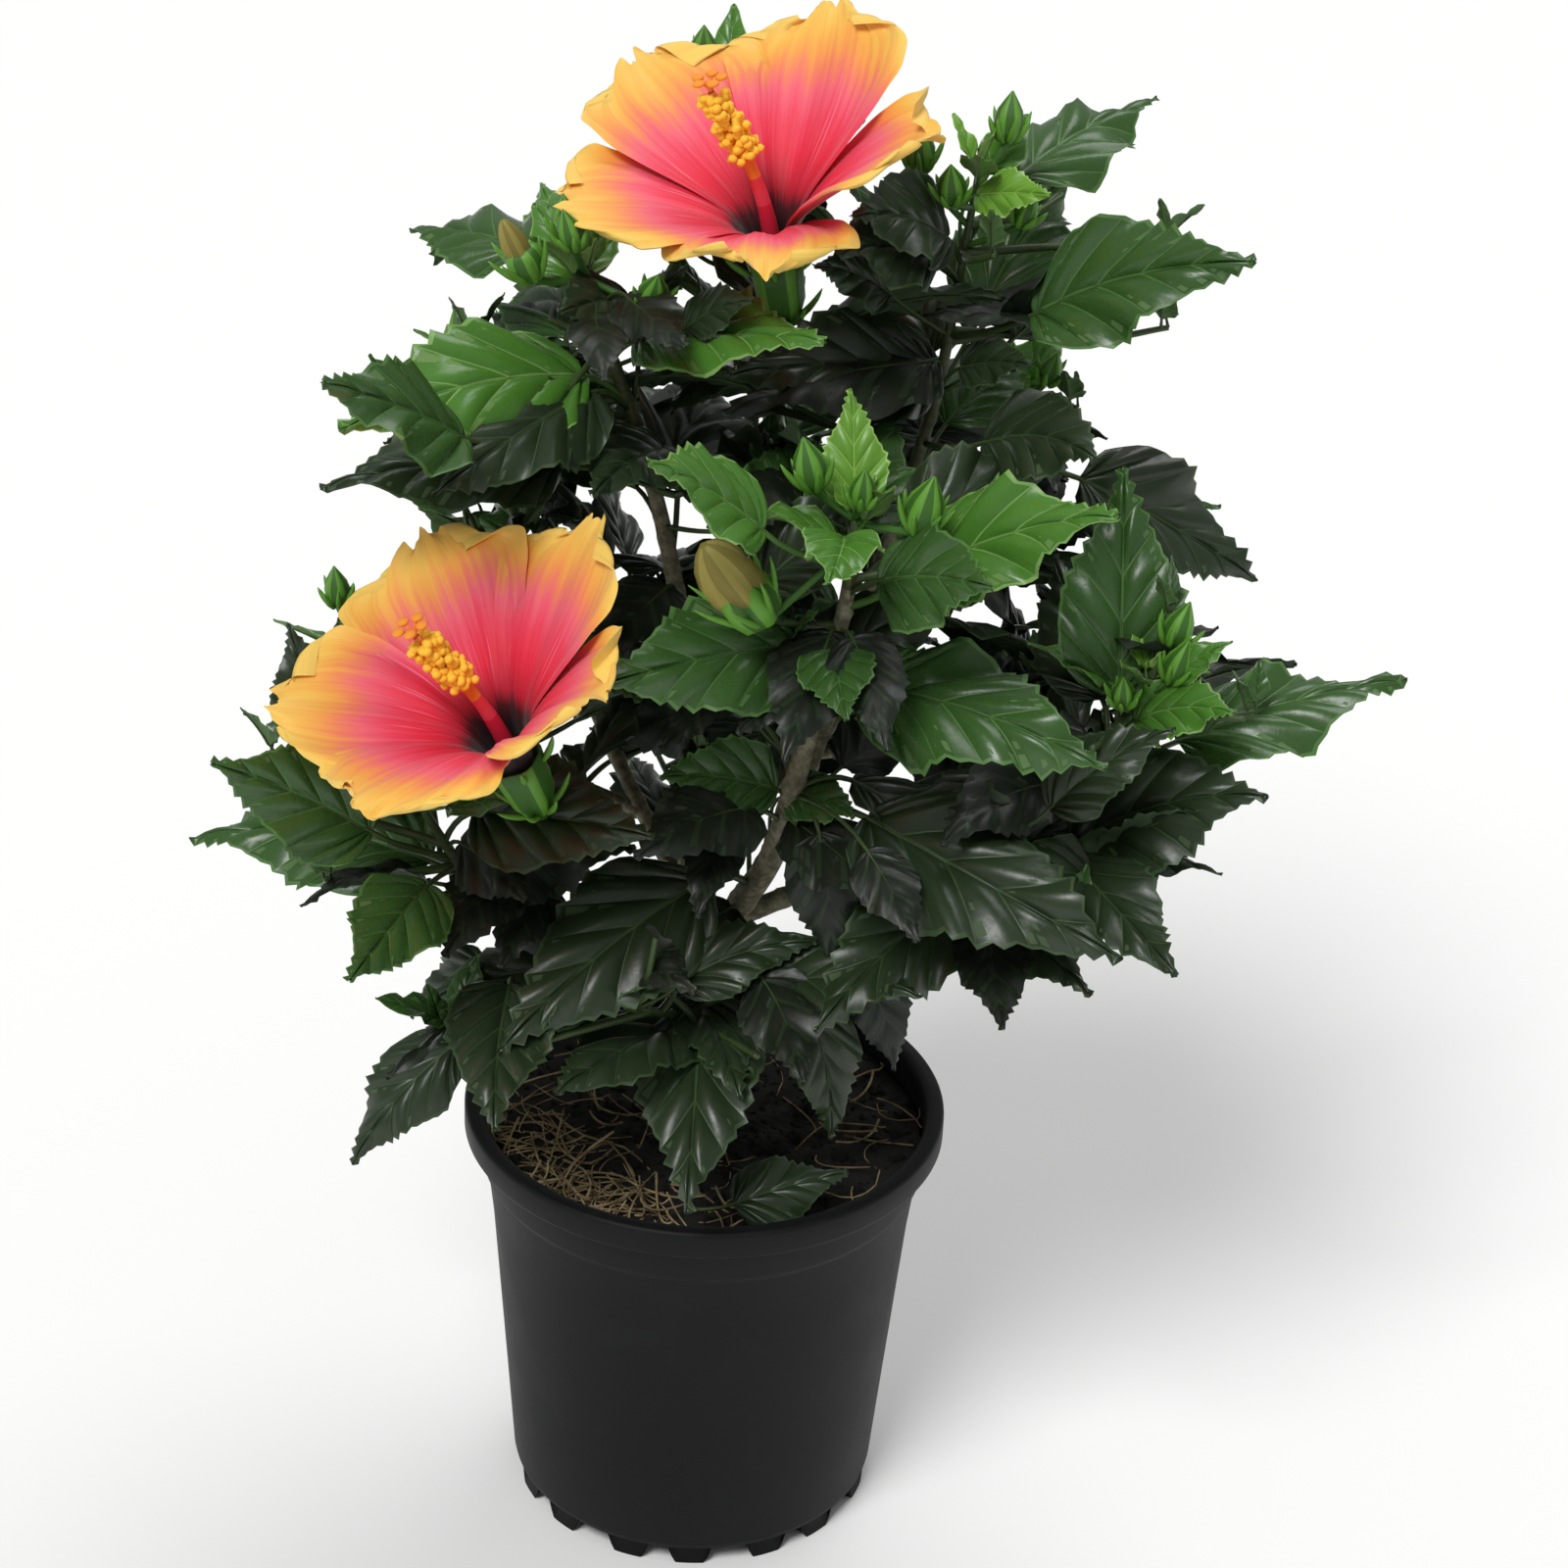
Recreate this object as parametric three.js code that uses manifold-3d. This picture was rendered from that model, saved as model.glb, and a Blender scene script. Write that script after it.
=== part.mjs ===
// Hibiscus shrub growing in a black nursery pot.
// Millimetres, +Z up. The origin is the centre of the pot's underside, and the shrub's front faces -Y.
// The pot and its compost are turned shapes, the stems and boughs are tapering limbs, and the crown is
// a set of uneven closed masses of foliage with two open blooms among them.

import * as THREE from "three";
import { mergeVertices } from "three/addons/utils/BufferGeometryUtils.js";
import Module from "manifold-3d";

const wasm = await Module();
wasm.setup();

// ---- Driving dimensions ------------------------------------------------------------------------

const GAP = 0.3; // clearance between neighbouring solids
const UP = new THREE.Vector3(0, 0, 1);

const POT = {
  height: 157,
  rimRadius: 85, // outside of the rolled lip
  lipHeight: 10,
  collarRadius: 80,
  collarBottomRadius: 78.6,
  collarHeight: 15,
  wallTopRadius: 77,
  wallBottomRadius: 66.5,
  wall: 1.6,
  floorUnderside: 6.5, // height of the floor above the ground
  floor: 2.2,
  sides: 36,
};

const FOOT_LUG = {
  pairs: 8,
  spread: THREE.MathUtils.degToRad(20), // between the two lugs of a pair
  firstPair: THREE.MathUtils.degToRad(217),
  halfWidth: 7.5,
  outerRadius: 65.5,
  innerRadius: 57,
};

const GATE_PAD = { radius: 24 }; // moulding gate at the centre of the floor, level with the lugs

const COMPOST = {
  top: 145,
  unevenness: 1.6,
  flatRadius: 12, // level patch round the foot of the main stem
};

// ---- Solids ------------------------------------------------------------------------------------

/** A closed three.js geometry as a manifold solid: its shared vertices are merged first. */
function solidOf(geometry) {
  const bare = geometry.clone();
  bare.deleteAttribute("normal");
  bare.deleteAttribute("uv");
  const merged = mergeVertices(bare, 1e-4);
  return new wasm.Manifold(
    new wasm.Mesh({
      numProp: 3,
      vertProperties: new Float32Array(merged.attributes.position.array),
      triVerts: new Uint32Array(merged.index.array),
    }),
  );
}

/** The largest piece of a solid, without the slivers that a cut may leave beside it. */
function largestPiece(solid) {
  const pieces = solid.decompose();
  return pieces.reduce((best, piece) => (piece.volume() > best.volume() ? piece : best));
}

/** A manifold solid as a three.js geometry. */
function geometryOf(solid) {
  const mesh = largestPiece(solid).getMesh();
  const geometry = new THREE.BufferGeometry();
  geometry.setAttribute("position", new THREE.BufferAttribute(mesh.vertProperties, 3));
  geometry.setIndex(new THREE.BufferAttribute(mesh.triVerts, 1));
  geometry.computeVertexNormals();
  return geometry;
}

/** A profile of [radius, height] points turned round the Z axis. */
function turned(profile, sides) {
  const points = profile.map(([radius, height]) => new THREE.Vector2(radius, height));
  return new THREE.LatheGeometry(points, sides).rotateX(Math.PI / 2);
}

/** A repeatable uneven value between -1 and 1 for a direction or place: three crossing waves. */
function unevenness(point, seed, wavelength) {
  const k = (2 * Math.PI) / wavelength;
  const first = Math.sin(k * (point.x + 0.4 * point.y) + 1.7 * seed);
  const second = Math.sin(k * (0.8 * point.y - 0.5 * point.z) + 2.9 * seed);
  const third = Math.sin(k * (0.9 * point.z + 0.3 * point.x) + 4.3 * seed);
  return (first + second + third) / 3;
}

// ---- Pot ---------------------------------------------------------------------------------------

/** Outer radius of the pot's straight wall at a height. */
function wallRadius(height) {
  const wallTop = POT.height - POT.lipHeight - POT.collarHeight;
  const share = (height - POT.floorUnderside) / (wallTop - POT.floorUnderside);
  return THREE.MathUtils.lerp(POT.wallBottomRadius, POT.wallTopRadius, share);
}

/** The pot's shell: rolled lip, stepped collar, tapered wall and flat floor, in one turned profile. */
function potShell() {
  const lipBottom = POT.height - POT.lipHeight;
  const collarBottom = lipBottom - POT.collarHeight;
  const floorTop = POT.floorUnderside + POT.floor;
  const profile = [
    [0, POT.floorUnderside],
    [POT.wallBottomRadius - 4, POT.floorUnderside],
    [POT.wallBottomRadius, POT.floorUnderside + 2],
    [wallRadius(collarBottom), collarBottom],
    [POT.collarBottomRadius, collarBottom + 1.5],
    [POT.collarRadius, lipBottom],
    [POT.rimRadius, lipBottom],
    [POT.rimRadius, POT.height - 2],
    [POT.rimRadius - 2, POT.height],
    [POT.collarRadius, POT.height],
    [POT.collarRadius - POT.wall, POT.height - 2],
    [POT.collarBottomRadius - POT.wall, collarBottom + 1.5],
    [wallRadius(collarBottom) - POT.wall, collarBottom],
    [wallRadius(floorTop) - POT.wall, floorTop],
    [0, floorTop],
  ];
  return solidOf(turned(profile, POT.sides));
}

/** One foot lug: a rounded scallop that hangs below the edge of the floor and reaches the ground. */
function footLug(azimuth) {
  const top = POT.floorUnderside + 1;
  const outline = new THREE.Shape();
  outline.moveTo(-FOOT_LUG.halfWidth, top);
  outline.lineTo(-FOOT_LUG.halfWidth, 3);
  outline.quadraticCurveTo(-FOOT_LUG.halfWidth + 1, 0, -FOOT_LUG.halfWidth + 4, 0);
  outline.lineTo(FOOT_LUG.halfWidth - 4, 0);
  outline.quadraticCurveTo(FOOT_LUG.halfWidth - 1, 0, FOOT_LUG.halfWidth, 3);
  outline.lineTo(FOOT_LUG.halfWidth, top);
  outline.closePath();
  const depth = FOOT_LUG.outerRadius - FOOT_LUG.innerRadius;
  const lug = new THREE.ExtrudeGeometry(outline, { depth, bevelEnabled: false, curveSegments: 2 });
  // The outline's plane is stood up across the radius, and the extrusion runs outward along it.
  lug.rotateX(Math.PI / 2);
  lug.translate(0, -FOOT_LUG.innerRadius, 0);
  lug.rotateZ(azimuth + Math.PI / 2);
  return solidOf(lug);
}

function buildPot() {
  let pot = potShell();
  for (let pair = 0; pair < FOOT_LUG.pairs; pair += 1) {
    const middle = FOOT_LUG.firstPair + (pair * 2 * Math.PI) / FOOT_LUG.pairs;
    pot = pot.add(footLug(middle - FOOT_LUG.spread / 2));
    pot = pot.add(footLug(middle + FOOT_LUG.spread / 2));
  }
  const padTop = POT.floorUnderside + 1;
  const pad = turned([[0, 0], [GATE_PAD.radius, 0], [GATE_PAD.radius, padTop], [0, padTop]], POT.sides);
  return pot.add(solidOf(pad));
}

/** The compost fills the pot from its floor to a little below the rim, with an uneven top. */
function buildCompost() {
  const bottom = POT.floorUnderside + POT.floor + GAP;
  const collarBottom = POT.height - POT.lipHeight - POT.collarHeight;
  const inset = POT.wall + GAP;
  const topShare = (COMPOST.top - collarBottom) / (POT.height - 2 - collarBottom);
  const topRadius = THREE.MathUtils.lerp(POT.collarBottomRadius, POT.collarRadius, topShare) - inset;
  const rings = 3;
  const profile = [
    [0, bottom],
    [wallRadius(bottom) - inset, bottom],
    [wallRadius(collarBottom) - inset - 0.2, collarBottom - 1],
    [wallRadius(collarBottom) - inset, collarBottom + 1.5],
    [topRadius, COMPOST.top - 2],
  ];
  for (let ring = rings; ring >= 0; ring -= 1) {
    const share = ring / rings;
    profile.push([THREE.MathUtils.lerp(COMPOST.flatRadius, topRadius - 2, share), COMPOST.top]);
  }
  profile.push([0, COMPOST.top]);
  const geometry = turned(profile, POT.sides);
  const place = new THREE.Vector3();
  const position = geometry.attributes.position;
  for (let i = 0; i < position.count; i += 1) {
    place.fromBufferAttribute(position, i);
    const radius = Math.hypot(place.x, place.y);
    if (place.z > COMPOST.top - 1 && radius > COMPOST.flatRadius + 1) {
      place.z += COMPOST.unevenness * unevenness(place, 3, 37);
      position.setZ(i, place.z);
    }
  }
  return solidOf(geometry);
}

// ---- Limbs -------------------------------------------------------------------------------------

const LIMB_SIDES = 7;
const LIMB_STEP = 26; // spacing of the rings along a limb
const FLARE_SHARE = 0.25; // the share of a limb over which its root flare fades

/**
 * A limb is a tapering tube along a smooth curve through its waypoints. `base` and `tip` are its
 * radii, `flare` widens its foot over the first quarter, and `grow` swells it all over for a cut.
 */
function limbSolid(limb, grow = 0) {
  const curve = new THREE.CatmullRomCurve3(limb.path.map((point) => new THREE.Vector3(...point)));
  const steps = Math.max(4, Math.round(curve.getLength() / LIMB_STEP));
  const { tangents, normals, binormals } = curve.computeFrenetFrames(steps, false);
  const positions = [];
  const faces = [];
  for (let ring = 0; ring <= steps; ring += 1) {
    const share = ring / steps;
    const centre = curve.getPointAt(share);
    if (ring === 0) centre.addScaledVector(tangents[ring], -grow);
    if (ring === steps) centre.addScaledVector(tangents[ring], grow);
    const flare = 1 + (limb.flare ?? 0) * Math.max(0, 1 - share / FLARE_SHARE) ** 2;
    const radius = THREE.MathUtils.lerp(limb.base, limb.tip, share) * flare + grow;
    for (let side = 0; side < LIMB_SIDES; side += 1) {
      const turn = (side / LIMB_SIDES) * 2 * Math.PI;
      const place = centre.clone();
      place.addScaledVector(normals[ring], radius * Math.cos(turn));
      place.addScaledVector(binormals[ring], radius * Math.sin(turn));
      // A limb that rises from the compost is cut flat and level at its foot.
      const level = limb.levelFoot && ring === 0;
      positions.push(place.x, place.y, level ? limb.path[0][2] - grow : place.z);
    }
  }
  for (let ring = 0; ring < steps; ring += 1) {
    for (let side = 0; side < LIMB_SIDES; side += 1) {
      const next = (side + 1) % LIMB_SIDES;
      const [a, b] = [ring * LIMB_SIDES + side, ring * LIMB_SIDES + next];
      faces.push(a, b, b + LIMB_SIDES, a, b + LIMB_SIDES, a + LIMB_SIDES);
    }
  }
  const last = steps * LIMB_SIDES;
  for (let side = 1; side < LIMB_SIDES - 1; side += 1) {
    faces.push(0, side + 1, side);
    faces.push(last, last + side, last + side + 1);
  }
  const geometry = new THREE.BufferGeometry();
  geometry.setAttribute("position", new THREE.Float32BufferAttribute(positions, 3));
  geometry.setIndex(faces);
  return solidOf(geometry);
}

// The fork where the main stem divides.
const FORK = [-3, 0, 212];

// Limbs in the order in which they carry each other. `from` names the limbs that a limb springs from
// or passes, and `ends` the mass or bloom that it carries: a bough stops where it enters that.
const LIMBS = [
  {
    name: "main_stem",
    path: [[-1, 3, COMPOST.top + GAP], [-1, 3, COMPOST.top + 16], [-3, 1, 186], FORK, [2, -5, 226]],
    base: 6.2,
    tip: 5.2,
    flare: 0.5,
    levelFoot: true,
  },
  {
    name: "stem_front",
    from: ["main_stem"],
    path: [[-1, -2, 216], [7, -9, 236], [20, -16, 265], [26, -22, 295], [31, -29, 325], [38, -42, 362],
      [41, -50, 396]],
    base: 5,
    tip: 2,
  },
  {
    name: "stem_left",
    from: ["main_stem", "stem_front"],
    path: [[-4, 0, 207], [-9, 6, 236], [-8, 12, 278], [-13, 18, 325], [-22, 18, 370], [-33, 14, 410],
      [-46, 2, 450]],
    base: 4.2,
    tip: 1.8,
  },
  {
    name: "stem_top",
    from: ["stem_left"],
    ends: "bloom_upper",
    path: [[-13, 18, 325], [-3, 25, 350], [8, 31, 385], [16, 31, 414], [17, 28, 434], [15, 27, 440]],
    base: 2.6,
    tip: 2,
  },
  {
    name: "bough_upper_right",
    from: ["stem_front", "stem_left"],
    ends: "foliage_upper_right",
    path: [[20, -16, 265], [32, -2, 296], [46, 18, 340], [60, 32, 385], [69, 38, 425], [72, 40, 470]],
    base: 3.4,
    tip: 1.6,
  },
  {
    name: "bough_right",
    from: ["stem_front", "bough_upper_right"],
    ends: "foliage_right",
    path: [
      [7, -9, 236], [30, -8, 246], [75, -10, 258],
      [112, -12, 276], [124, -16, 305], [137, -20, 338],
    ],
    base: 3.4,
    tip: 1.8,
  },
  {
    name: "bough_lower_left",
    from: ["main_stem", "stem_left", "stem_front"],
    ends: "foliage_lower_left",
    path: [
      [-3, 0, 200], [-22, -5, 218], [-48, -13, 228],
      [-70, -22, 240], [-84, -32, 262], [-95, -40, 284],
    ],
    base: 3.2,
    tip: 1.8,
  },
  {
    name: "bough_bloom",
    from: ["bough_lower_left", "stem_left", "main_stem"],
    ends: "bloom_lower",
    path: [[-22, -5, 218], [-32, -14, 242], [-44, -32, 264], [-51, -49, 283], [-55, -60, 302]],
    base: 2.6,
    tip: 2,
  },
  {
    name: "bough_back_left",
    from: ["stem_left", "main_stem", "bough_lower_left"],
    ends: "foliage_back_left",
    path: [[-9, 6, 236], [-26, 26, 256], [-48, 52, 290], [-66, 74, 330], [-78, 86, 372]],
    base: 3,
    tip: 1.6,
  },
  {
    name: "bough_back_right",
    from: ["stem_left", "stem_front", "bough_right", "bough_upper_right", "bough_back_left"],
    ends: "foliage_back_right",
    path: [[-9, 8, 246], [14, 26, 262], [44, 50, 290], [72, 70, 326], [88, 82, 366]],
    base: 3,
    tip: 1.6,
  },
  {
    name: "bough_back_top",
    from: ["stem_left", "stem_top", "bough_back_left", "bough_back_right"],
    ends: "foliage_top_back",
    path: [[-9, 12, 290], [-2, 36, 322], [6, 60, 366], [4, 74, 415], [0, 80, 455]],
    base: 2.8,
    tip: 1.5,
  },
  {
    name: "bough_low_left",
    from: ["main_stem", "bough_lower_left"],
    ends: "foliage_low_left",
    path: [[-2, 1, 178], [-22, -10, 196], [-48, -26, 206], [-78, -42, 213]],
    base: 2.2,
    tip: 1.6,
  },
  {
    name: "bough_low_front",
    from: ["main_stem", "bough_low_left"],
    ends: "foliage_low_front",
    path: [[-1, 1, 172], [-2, -18, 194], [-8, -36, 212], [-16, -52, 230]],
    base: 2.2,
    tip: 1.6,
  },
  {
    name: "bough_back_low",
    from: ["main_stem", "stem_left", "bough_back_left", "bough_back_right"],
    ends: "foliage_back_low",
    path: [[-3, 2, 190], [-2, 24, 218], [0, 48, 246], [0, 76, 282]],
    base: 2.4,
    tip: 1.6,
  },
  {
    name: "bough_left_back",
    from: ["bough_back_left", "stem_left"],
    ends: "foliage_left_back",
    path: [[-26, 26, 256], [-50, 34, 262], [-82, 40, 274], [-112, 42, 290]],
    base: 2.2,
    tip: 1.6,
  },
  {
    name: "bough_right_back",
    from: ["bough_back_right", "bough_right", "bough_upper_right"],
    ends: "foliage_right_back",
    path: [[28, 38, 276], [56, 42, 278], [88, 46, 286], [124, 50, 298]],
    base: 2.2,
    tip: 1.6,
  },
];

// ---- Blooms ------------------------------------------------------------------------------------

const BLOOM = {
  petals: 5,
  depth: 42, // from the foot of the flower to its throat
  reach: 64, // from the flower's axis to the edge of a petal
  rise: 36, // and how high that edge stands over the throat
  thickness: 5,
  lobe: 0.08, // how much further each petal's middle reaches than the notch beside it
  droop: 4, // and how much lower it hangs
  sides: 15,
};

const BLOOMS = [
  { name: "bloom_upper", throat: [8, 20, 477], axis: [-0.19, -0.16, 0.97], turn: 0.5 },
  { name: "bloom_lower", throat: [-69, -70, 337], axis: [-0.35, -0.26, 0.9], turn: 0.3 },
];

/** An open flower as one funnel of five joined petals, narrow at its foot and wavy at its edge. */
function bloomSolid(bloom, grow = 0) {
  const { depth, reach, rise, thickness } = BLOOM;
  const profile = [
    [0, -depth - grow],
    [5 + grow, -depth - grow],
    [7 + grow, -depth * 0.45],
    [16 + grow, -1 - grow],
    [reach * 0.62, rise * 0.56 - thickness - grow],
    [reach + grow, rise - thickness - grow],
    [reach + grow, rise + grow],
    [reach * 0.6, rise * 0.56 + grow],
    [12, 3 + grow],
    [0, -4 + grow],
  ];
  const geometry = turned(profile, BLOOM.sides);
  const position = geometry.attributes.position;
  for (let i = 0; i < position.count; i += 1) {
    const [x, y, z] = [position.getX(i), position.getY(i), position.getZ(i)];
    const outward = Math.hypot(x, y) / reach;
    const turn = Math.atan2(y, x);
    const lobe = Math.cos(BLOOM.petals * (turn - bloom.turn));
    const spread = 1 + BLOOM.lobe * lobe * outward;
    position.setXYZ(i, x * spread, y * spread, z - BLOOM.droop * lobe * outward);
  }
  const axis = new THREE.Vector3(...bloom.axis).normalize();
  geometry.applyQuaternion(new THREE.Quaternion().setFromUnitVectors(UP, axis));
  geometry.translate(...bloom.throat);
  return solidOf(geometry);
}

// ---- Masses of foliage -------------------------------------------------------------------------

// Each mass has a centre, three half-widths and the furthest leaf tips that it reaches.
const MASSES = [
  {
    name: "foliage_upper_left",
    centre: [-78, 16, 424],
    half: [42, 36, 34],
    tips: [[-140, 20, 407], [-122, 22, 392], [-101, 40, 459], [-66, 25, 486], [-82, -22, 448]],
  },
  {
    name: "foliage_upper_right",
    centre: [98, 42, 444],
    half: [50, 38, 38],
    tips: [[169, 30, 462], [132, 60, 510], [106, 80, 482], [60, 4, 486], [124, 4, 402], [150, 50, 416]],
  },
  {
    name: "foliage_top_back",
    centre: [-8, 88, 462],
    half: [50, 38, 42],
    tips: [[-17, 80, 524], [30, 70, 535], [-66, 90, 470], [-4, 142, 448], [46, 104, 440]],
  },
  {
    name: "foliage_centre",
    centre: [36, -46, 378],
    half: [56, 38, 40],
    tips: [[-25, -42, 422], [116, -24, 402], [34, -104, 402], [-30, -74, 352], [46, -20, 436]],
  },
  {
    name: "foliage_core",
    centre: [12, 14, 400],
    half: [54, 36, 34],
    tips: [[70, 10, 420], [-40, -10, 392], [-20, 34, 436]],
  },
  {
    name: "foliage_right",
    centre: [142, -20, 334],
    half: [44, 40, 38],
    tips: [
      [222, -10, 348], [163, -66, 349], [155, 16, 386],
      [104, 10, 368], [180, 16, 361], [110, -80, 339],
    ],
  },
  {
    name: "foliage_lower_right",
    centre: [98, -30, 268],
    half: [52, 40, 30],
    tips: [[184, -24, 307], [156, -56, 242], [123, -72, 246], [34, -80, 230], [72, -84, 300]],
  },
  {
    name: "foliage_lower_left",
    centre: [-112, -40, 276],
    half: [44, 36, 32],
    tips: [[-180, -42, 276], [-174, -30, 299], [-121, -66, 236], [-140, -16, 338], [-96, -92, 286]],
  },
  {
    name: "foliage_left",
    centre: [-88, 20, 348],
    half: [38, 36, 32],
    tips: [[-132, 38, 359], [-126, 0, 334], [-46, -12, 372]],
  },
  {
    name: "foliage_low_left",
    centre: [-82, -44, 214],
    half: [30, 34, 22],
    tips: [[-111, -90, 185], [-71, -84, 192], [-114, -24, 206]],
  },
  {
    name: "foliage_low_front",
    centre: [-18, -54, 232],
    half: [44, 30, 28],
    tips: [[-69, -94, 226], [2, -92, 176], [41, -80, 188], [-18, -90, 290]],
  },
  {
    name: "foliage_heart",
    centre: [-6, -4, 318],
    half: [48, 38, 40],
    tips: [[-36, -50, 344], [40, -34, 310], [4, 40, 340]],
  },
  {
    name: "foliage_back_left",
    centre: [-76, 88, 366],
    half: [54, 46, 54],
    tips: [[-140, 92, 368], [-96, 148, 350], [-72, 96, 432], [-122, 84, 312], [-40, 142, 396]],
  },
  {
    name: "foliage_back_right",
    centre: [84, 88, 366],
    half: [56, 46, 54],
    tips: [[152, 96, 382], [94, 150, 358], [136, 74, 318], [62, 116, 424], [40, 146, 388]],
  },
  {
    name: "foliage_back_low",
    centre: [0, 80, 288],
    half: [66, 44, 44],
    tips: [[-70, 110, 256], [8, 140, 246], [72, 108, 262], [4, 134, 320], [-34, 96, 226]],
  },
  {
    name: "foliage_left_back",
    centre: [-112, 48, 292],
    half: [44, 42, 36],
    tips: [[-164, 52, 302], [-140, 84, 256], [-96, 20, 246], [-132, 92, 308]],
  },
  {
    name: "foliage_right_back",
    centre: [124, 54, 300],
    half: [46, 42, 38],
    tips: [[186, 48, 312], [158, 92, 284], [114, 50, 242], [90, 98, 268]],
  },
];

const MASS_DETAIL = 2;
const TIP_WIDTH = Math.cos(THREE.MathUtils.degToRad(38)); // how wide a leaf tip draws the mass out

/** One mass: a ball stretched to its half-widths, made uneven and drawn out to each leaf tip. */
function massSolid(mass, seed, grow = 0) {
  const geometry = new THREE.IcosahedronGeometry(1, MASS_DETAIL);
  const centre = new THREE.Vector3(...mass.centre);
  const half = new THREE.Vector3(...mass.half);
  const tips = mass.tips.map((tip) => new THREE.Vector3(...tip).sub(centre));
  const position = geometry.attributes.position;
  const ray = new THREE.Vector3();
  for (let i = 0; i < position.count; i += 1) {
    ray.fromBufferAttribute(position, i).normalize();
    const uneven = 1 + 0.09 * unevenness(ray, seed, 1.5);
    const place = ray.clone().multiply(half).multiplyScalar(uneven);
    let length = place.length();
    const heading = place.clone().normalize();
    for (const tip of tips) {
      const facing = heading.dot(tip) / tip.length();
      const pull = Math.max(0, (facing - TIP_WIDTH) / (1 - TIP_WIDTH)) ** 1.5;
      length = THREE.MathUtils.lerp(length, Math.max(length, tip.length()), pull);
    }
    place.copy(heading).multiplyScalar(length + grow);
    position.setXYZ(i, place.x, place.y, place.z);
  }
  for (const tip of tips) drawOutTo(position, tip.clone().setLength(tip.length() + grow));
  return solidOf(geometry.translate(...mass.centre));
}

/** Move the corner that lies nearest to a tip's direction right onto the tip. */
function drawOutTo(position, tip) {
  const corner = new THREE.Vector3();
  const facing = (i) => corner.fromBufferAttribute(position, i).normalize().dot(tip) / tip.length();
  let nearest = 0;
  for (let i = 1; i < position.count; i += 1) {
    if (facing(i) > facing(nearest)) nearest = i;
  }
  const old = new THREE.Vector3().fromBufferAttribute(position, nearest);
  for (let i = 0; i < position.count; i += 1) {
    const same = corner.fromBufferAttribute(position, i).distanceTo(old) < 1e-3;
    if (same) position.setXYZ(i, tip.x, tip.y, tip.z);
  }
}

// ---- Materials ---------------------------------------------------------------------------------

const material = (color, roughness) => new THREE.MeshStandardMaterial({ color, roughness, metalness: 0 });

const MATERIALS = {
  pot: () => material("#2a2c2e", 0.62),
  compost: () => material("#15120e", 0.95),
  bark: () => material("#6b6450", 0.85),
  bloom: () => material("#fbaa55", 0.6),
  foliage: () => material("#2f5a26", 0.5),
};

// ---- Assembly ----------------------------------------------------------------------------------

const shrub = new THREE.Group();

function place(name, solid, finish) {
  const mesh = new THREE.Mesh(geometryOf(solid), finish());
  mesh.name = name;
  shrub.add(mesh);
}

place("pot", buildPot(), MATERIALS.pot);
place("compost", buildCompost(), MATERIALS.compost);

// The crown's pieces, blooms first, with their builders.
const crown = [
  ...BLOOMS.map((bloom) => ({
    name: bloom.name,
    finish: MATERIALS.bloom,
    solid: bloomSolid(bloom),
    swollen: bloomSolid(bloom, GAP),
  })),
  ...MASSES.map((mass, index) => ({
    name: mass.name,
    finish: MATERIALS.foliage,
    solid: massSolid(mass, index + 1),
    swollen: massSolid(mass, index + 1, GAP),
  })),
];

/** A solid cut back from others, which are already swollen by the clearance. */
function clearOf(solid, others) {
  return others.reduce((rest, other) => rest.subtract(other), solid);
}

// Each limb is cut back from the limbs that it springs from, and from the piece of crown it carries.
const limbs = LIMBS.map((limb) => {
  const carriers = LIMBS.filter((other) => limb.from?.includes(other.name));
  const carried = crown.filter((piece) => piece.name === limb.ends);
  const others = [
    ...carriers.map((other) => limbSolid(other, GAP)),
    ...carried.map((piece) => piece.swollen),
  ];
  return {
    name: limb.name,
    ends: limb.ends,
    solid: largestPiece(clearOf(limbSolid(limb), others)),
    swollen: clearOf(limbSolid(limb, GAP), carried.map((piece) => piece.solid)),
  };
});

for (const limb of limbs) place(limb.name, limb.solid, MATERIALS.bark);

// The crown is cut round the limbs that run through it, and each piece round those before it.
crown.forEach((piece, index) => {
  const passing = limbs.filter((limb) => limb.ends !== piece.name);
  const others = [...passing, ...crown.slice(0, index)].map((other) => other.swollen);
  place(piece.name, clearOf(piece.solid, others), piece.finish);
});

export default shrub;
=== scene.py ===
# %% [markdown]
# # A hibiscus shrub in its pot
# A young shrub of a tropical garden plant stands in the black nursery pot that it was grown in.
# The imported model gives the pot, the compost, the stems and boughs, two open blooms and the masses of
# foliage. This file keeps their places and sizes, and grows the real surfaces on them: moulded plastic,
# crumbly compost, bark, glossy toothed leaves on their stalks, buds, and silky petals.

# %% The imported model
import math

import bpy
import numpy as np
from mathutils import Matrix, Vector
from mathutils.bvhtree import BVHTree


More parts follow.
